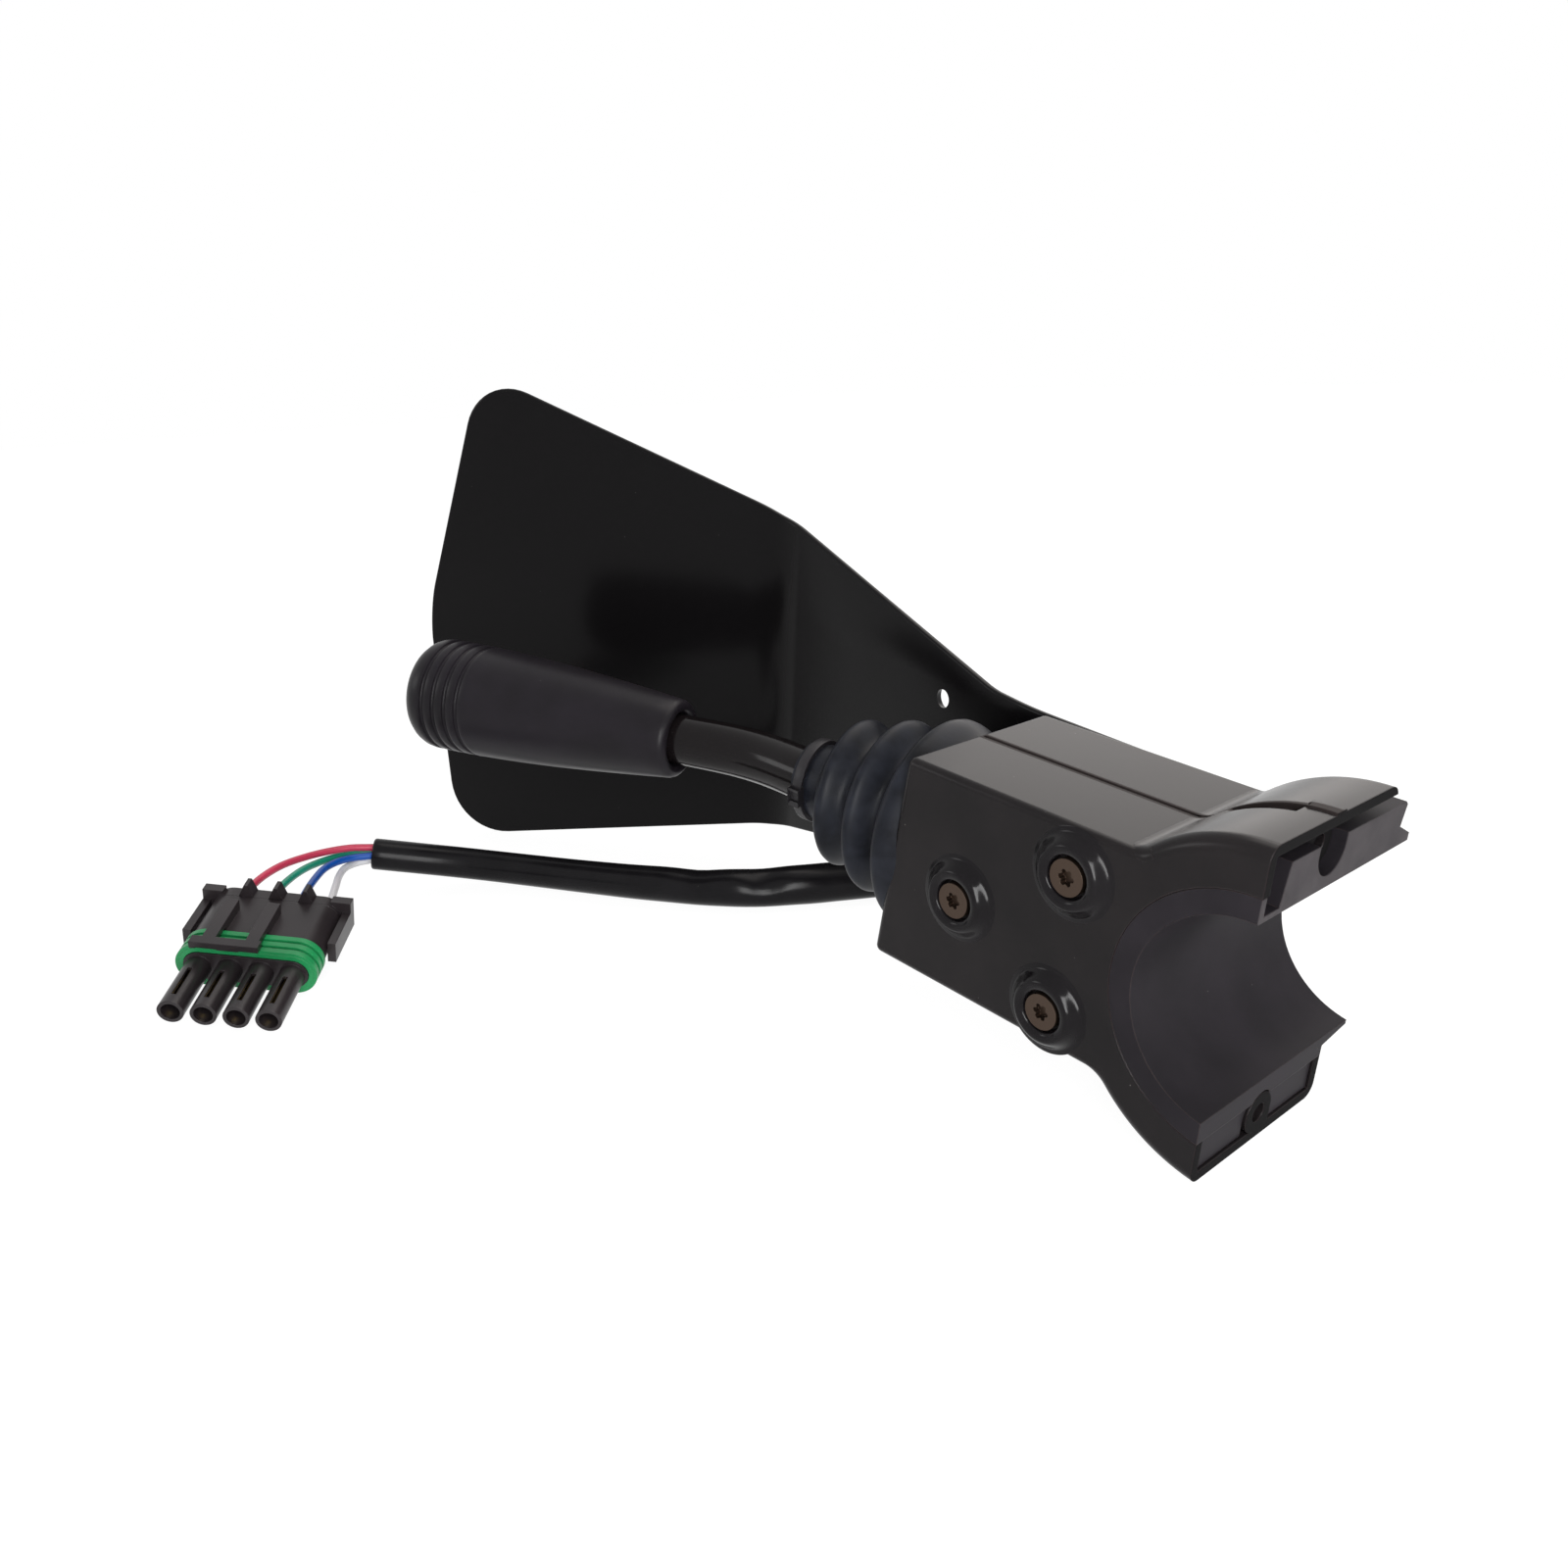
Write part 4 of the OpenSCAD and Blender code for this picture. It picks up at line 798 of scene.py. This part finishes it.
# %% Thickness and broken edges
HOLE_DRAFT = 1.3
EDGE_BREAK = 0.75
upper = bmesh.ops.extrude_face_region(bm, geom=bm.faces[:])["geom"]
rear_verts = [item for item in upper if isinstance(item, bmesh.types.BMVert)]
bmesh.ops.translate(bm, verts=rear_verts, vec=(0, SHEET, 0))
hole_back = [vert for vert in rear_verts if (vert.co.xz - HOLE.xz).length < HOLE_R + 0.01]
bmesh.ops.scale(bm, verts=hole_back, vec=(HOLE_DRAFT, 1, HOLE_DRAFT), space=Matrix.Translation(-HOLE))
bmesh.ops.recalc_face_normals(bm, faces=bm.faces)
sides = [face for face in bm.faces if abs(face.normal.y) < 0.5
         and (face.calc_center_median().xz - HOLE.xz).length > 2 * HOLE_R]
side_edges = {edge for face in sides for edge in face.edges}
rims = [edge for edge in side_edges if abs(edge.verts[0].co.y - edge.verts[1].co.y) < 0.5]
bmesh.ops.bevel(bm, geom=rims, offset=EDGE_BREAK, segments=3, profile=0.5, affect="EDGES", material=-1)
print("guard faces", len(bm.faces))

# %% Fold the plate
GUARD_START = (-54.0, 27.4)


def folded(u):
    x, y = GUARD_START
    heading, done = 0.0, 0.0
    for centre, turn, half in FOLDS:
        low, high = centre - half, centre + half
        run = min(u, low) - done
        x -= run * math.cos(heading)
        y += run * math.sin(heading)
        if u <= low:
            return x, y, heading
        swing = math.radians(turn) - heading
        after = heading + swing * (min(u, high) - low) / (high - low)
        radius = (high - low) / swing
        x -= radius * (math.sin(after) - math.sin(heading))
        y += radius * (math.cos(heading) - math.cos(after))
        heading, done = after, high
        if u <= high:
            return x, y, heading
    return x - (u - done) * math.cos(heading), y + (u - done) * math.sin(heading), heading


bmesh.ops.triangulate(bm, faces=bm.faces[:])
for vert in bm.verts:
    x, y, heading = folded(vert.co.x)
    height = vert.co.y
    vert.co.x = x + height * math.sin(heading)
    vert.co.y = y + height * math.cos(heading)
print("middle of the second fold", [round(v, 1) for v in folded(FOLDS[1][0])])
piece("guard_sheet", bm, guard_paint, "housing", ("guard_plate",))

# %% [markdown]
# ## Screw bosses
# Each case screw sits in a raised ring. The solids have it in straight steps, which break up a highlight,
# so a smooth skin is spun over each ring: an S from the face up to the crest, then a round fall into the
# recess of the head.

# %% Spin the boss skins
BOSS_FOOT, BOSS_CREST, BOSS_HIGH, RECESS_R = 9.5, 6.3, 2.6, 4.6
SKIN = 0.08
CREST_FALL = 1.1
RECESS_GAP = 0.02
CASE_FRONT_Y = -24
SCREW_PLACES = ((-67, 0), (-39, 16.7), (-41, -15.2))
boss_line = [(-0.1, BOSS_FOOT + 0.7), (0.04, BOSS_FOOT + 0.4)]
for i in range(1, 19):
    t = i / 18
    rise = BOSS_HIGH * (1 - math.cos(math.pi * t)) / 2
    boss_line.append((SKIN + rise, BOSS_FOOT - t * (BOSS_FOOT - BOSS_CREST)))
for i in range(1, 11):
    t = math.pi / 2 * i / 10
    radius = BOSS_CREST - (BOSS_CREST - RECESS_R + RECESS_GAP) * math.sin(t)
    boss_line.append((SKIN + BOSS_HIGH - CREST_FALL * (1 - math.cos(t)), radius))
# The back of the skin runs inside the solid
boss_line += [(0.9, RECESS_R - RECESS_GAP), (0.9, RECESS_R + 0.6), (1.9, BOSS_CREST), (0.4, 8),
              (-0.4, BOSS_FOOT)]
bm = bmesh.new()
for x, z in SCREW_PLACES:
    skin = bmesh.new()
    spun(skin, boss_line, 96)
    skin.transform(Matrix.Translation((x, CASE_FRONT_Y, z)) @ Matrix.Rotation(-math.pi / 2, 4, "Z"))
    loose = bpy.data.meshes.new("boss_skin")
    skin.to_mesh(loose)
    skin.free()
    bm.from_mesh(loose)
    bpy.data.meshes.remove(loose)
piece("boss_skins", bm, boss_nylon, "housing", crease=40)

# %% [markdown]
# ## Fillets where the case meets the jaws
# The real moulding has a soft hollow where the flat of the case runs into the round jaws. It is made here
# as thin strips on the solids. At each station across the case the strip's section is the arc that touches
# the flat and the jaw, closed by a corner sunk in the wall. Towards the outer edge the flat and the jaw
# round off, so their offsets are worked out again at each station, and bridging the sections carries the
# fillet smoothly over the edge.

# %% Section of a fillet
JAW_R, HALF_DEPTH = 37.4, 24.0
CASE_EDGE, JAW_EDGE = 1.8, 3.2
SUNK = 0.5
ARC_STEPS = 10


def edge_drop(radius, inward):
    return radius - math.sqrt(radius ** 2 - max(0, radius - inward) ** 2)


def fillet_section(level, radius, inward):
    flat = abs(level) - edge_drop(CASE_EDGE, inward)
    jaw = JAW_R - edge_drop(JAW_EDGE, inward)
    centre = Vector((-math.sqrt((jaw + radius) ** 2 - (flat + radius) ** 2), flat + radius))
    low = math.radians(-90)
    high = math.atan2(-centre.y, -centre.x)
    arc = []
    for i in range(ARC_STEPS + 1):
        angle = low + (high - low) * i / ARC_STEPS
        arc.append(centre + radius * Vector((math.cos(angle), math.sin(angle))))
    sunk = [arc[-1] * (1 - SUNK / jaw), Vector((arc[-1].x, arc[0].y - SUNK)), arc[0] - Vector((0, SUNK))]
    return [Vector((p.x, 0, math.copysign(p.y, level))) for p in arc + sunk]


# Each strip: the level of the flat, its fillet's radius and its gap to the seam
STRIPS = ((27, 6, 0.5), (-24, 8, 0.15))
print("points in a section", [len(fillet_section(level, radius, 1)) for level, radius, seam in STRIPS])

# %% Fillet strips
STATIONS = (0.02, 0.1, 0.25, 0.5, 0.9, 1.4, 2, 2.6, 3.2)
for shell, side in (("front", -1), ("rear", 1)):
    bm = bmesh.new()
    for level, radius, seam in STRIPS:
        rings = []
        for inward in STATIONS + (HALF_DEPTH - seam,):
            across = Vector((0, side * (HALF_DEPTH - inward), 0))
            verts = [bm.verts.new(p + across) for p in fillet_section(level, radius, inward)]
            rings.append([bm.edges.new(pair) for pair in zip(verts, verts[1:] + verts[:1])])
        close_rings(bm, rings)
    piece(shell + "_valley_fillets", bm, case_nylon, "housing", crease=40)

# %% [markdown]
# ## Light and table
# The photograph is lit by a wide soft room: bright above and behind, dimmer at the camera's side, which is
# why the top of the case is pale and its front nearly black. A wide box behind the case is what its flat
# top mirrors, a tall narrow one beside the camera puts the sharp streaks on the bosses, and two more fill
# the sides. The world and the table are white for the camera and in reflections, and the table still takes
# the soft shadow.

# %% World
ROOM_SPAN = (-0.6, 0.5)
ROOM_LEVELS = (0.22, 0.75)
WHITE = (1, 1, 1, 1)


def seen_directly(tree):
    path = add(tree, "ShaderNodeLightPath").outputs
    direct = joined(tree, "MAXIMUM", path["Is Camera Ray"], path["Is Glossy Ray"])
    return joined(tree, "MAXIMUM", direct, path["Is Transmission Ray"])


world = bpy.data.worlds.new("room")
bpy.context.scene.world = world
world.use_nodes = True
tree = world.node_tree
way = add(tree, "ShaderNodeTexCoord").outputs["Generated"]
to_back = add(tree, "ShaderNodeSeparateXYZ", {"Vector": way}).outputs["Y"]
room_light = ramp(tree, to_back, *ROOM_SPAN, *ROOM_LEVELS)
background = tree.nodes["Background"].inputs
background["Strength"].default_value = 1.0
tree.links.new(mixed(tree, seen_directly(tree), room_light, WHITE), background["Color"])
print("room light from", ROOM_LEVELS[0], "in front to", ROOM_LEVELS[1], "behind")


# %% Lamps
def soft_box(name, place, target, size, watts, tint="#ffffff", tall=1):
    lamp = bpy.data.lights.new(name, "AREA")
    lamp.shape = "RECTANGLE"
    lamp.size = size
    lamp.size_y = size * tall
    lamp.energy = watts
    lamp.color = linear(tint)[:3]
    made = bpy.data.objects.new(name, lamp)
    made.location = place
    made.rotation_euler = (Vector(target) - Vector(place)).to_track_quat("-Z", "Y").to_euler()
    bpy.context.collection.objects.link(made)


soft_box("overhead", (-0.1, 0.35, 0.8), (-0.1, 0, 0), size=0.7, watts=4.0, tint="#fff8f2")
soft_box("behind", (-0.46, 1.08, 0.62), (-0.05, 0, 0.02), size=0.9, watts=2.9, tint="#fff6f0")
soft_box("camera_side", (0.3, -0.375, 0.15), (-0.05, 0, 0), size=0.13, watts=2.9, tall=2.8)
soft_box("right_side", (0.8, -0.1, 0.3), (0, 0, 0), size=0.4, watts=2.0)
soft_box("left_front", (-0.6, -0.55, 0.3), (-0.1, 0, 0), size=0.2, watts=0.5)
print("lamps", len(bpy.data.lights))

# %% Table
TABLE_Z = -0.0367
TABLE_HALF = 4
GLOW_SHARE = 0.86
GLOW = 1.1
bm = bmesh.new()
table_place = Matrix.Translation((0, 0, TABLE_Z))
bmesh.ops.create_grid(bm, x_segments=1, y_segments=1, size=TABLE_HALF, matrix=table_place)
table_mesh = bpy.data.meshes.new("table")
bm.to_mesh(table_mesh)
bm.free()
table = bpy.data.objects.new("table", table_mesh)
bpy.context.collection.objects.link(table)
# Matt white that glows a little for the eye, so that the table meets the white room without an edge
white, tree, shader = new_material("white_table")
shader.inputs["Base Color"].default_value = linear("#f4f4f4")
shader.inputs["Roughness"].default_value = 0.8
share = joined(tree, "MULTIPLY", seen_directly(tree), GLOW_SHARE)
glow = add(tree, "ShaderNodeEmission", {"Color": WHITE, "Strength": GLOW})
blend = add(tree, "ShaderNodeMixShader", {0: share, 1: shader.outputs["BSDF"], 2: glow.outputs["Emission"]})
tree.links.new(blend.outputs["Shader"], tree.nodes["Material Output"].inputs["Surface"])
table_mesh.materials.append(white)
bpy.context.scene.view_settings.view_transform = "Standard"
print("table at", TABLE_Z)
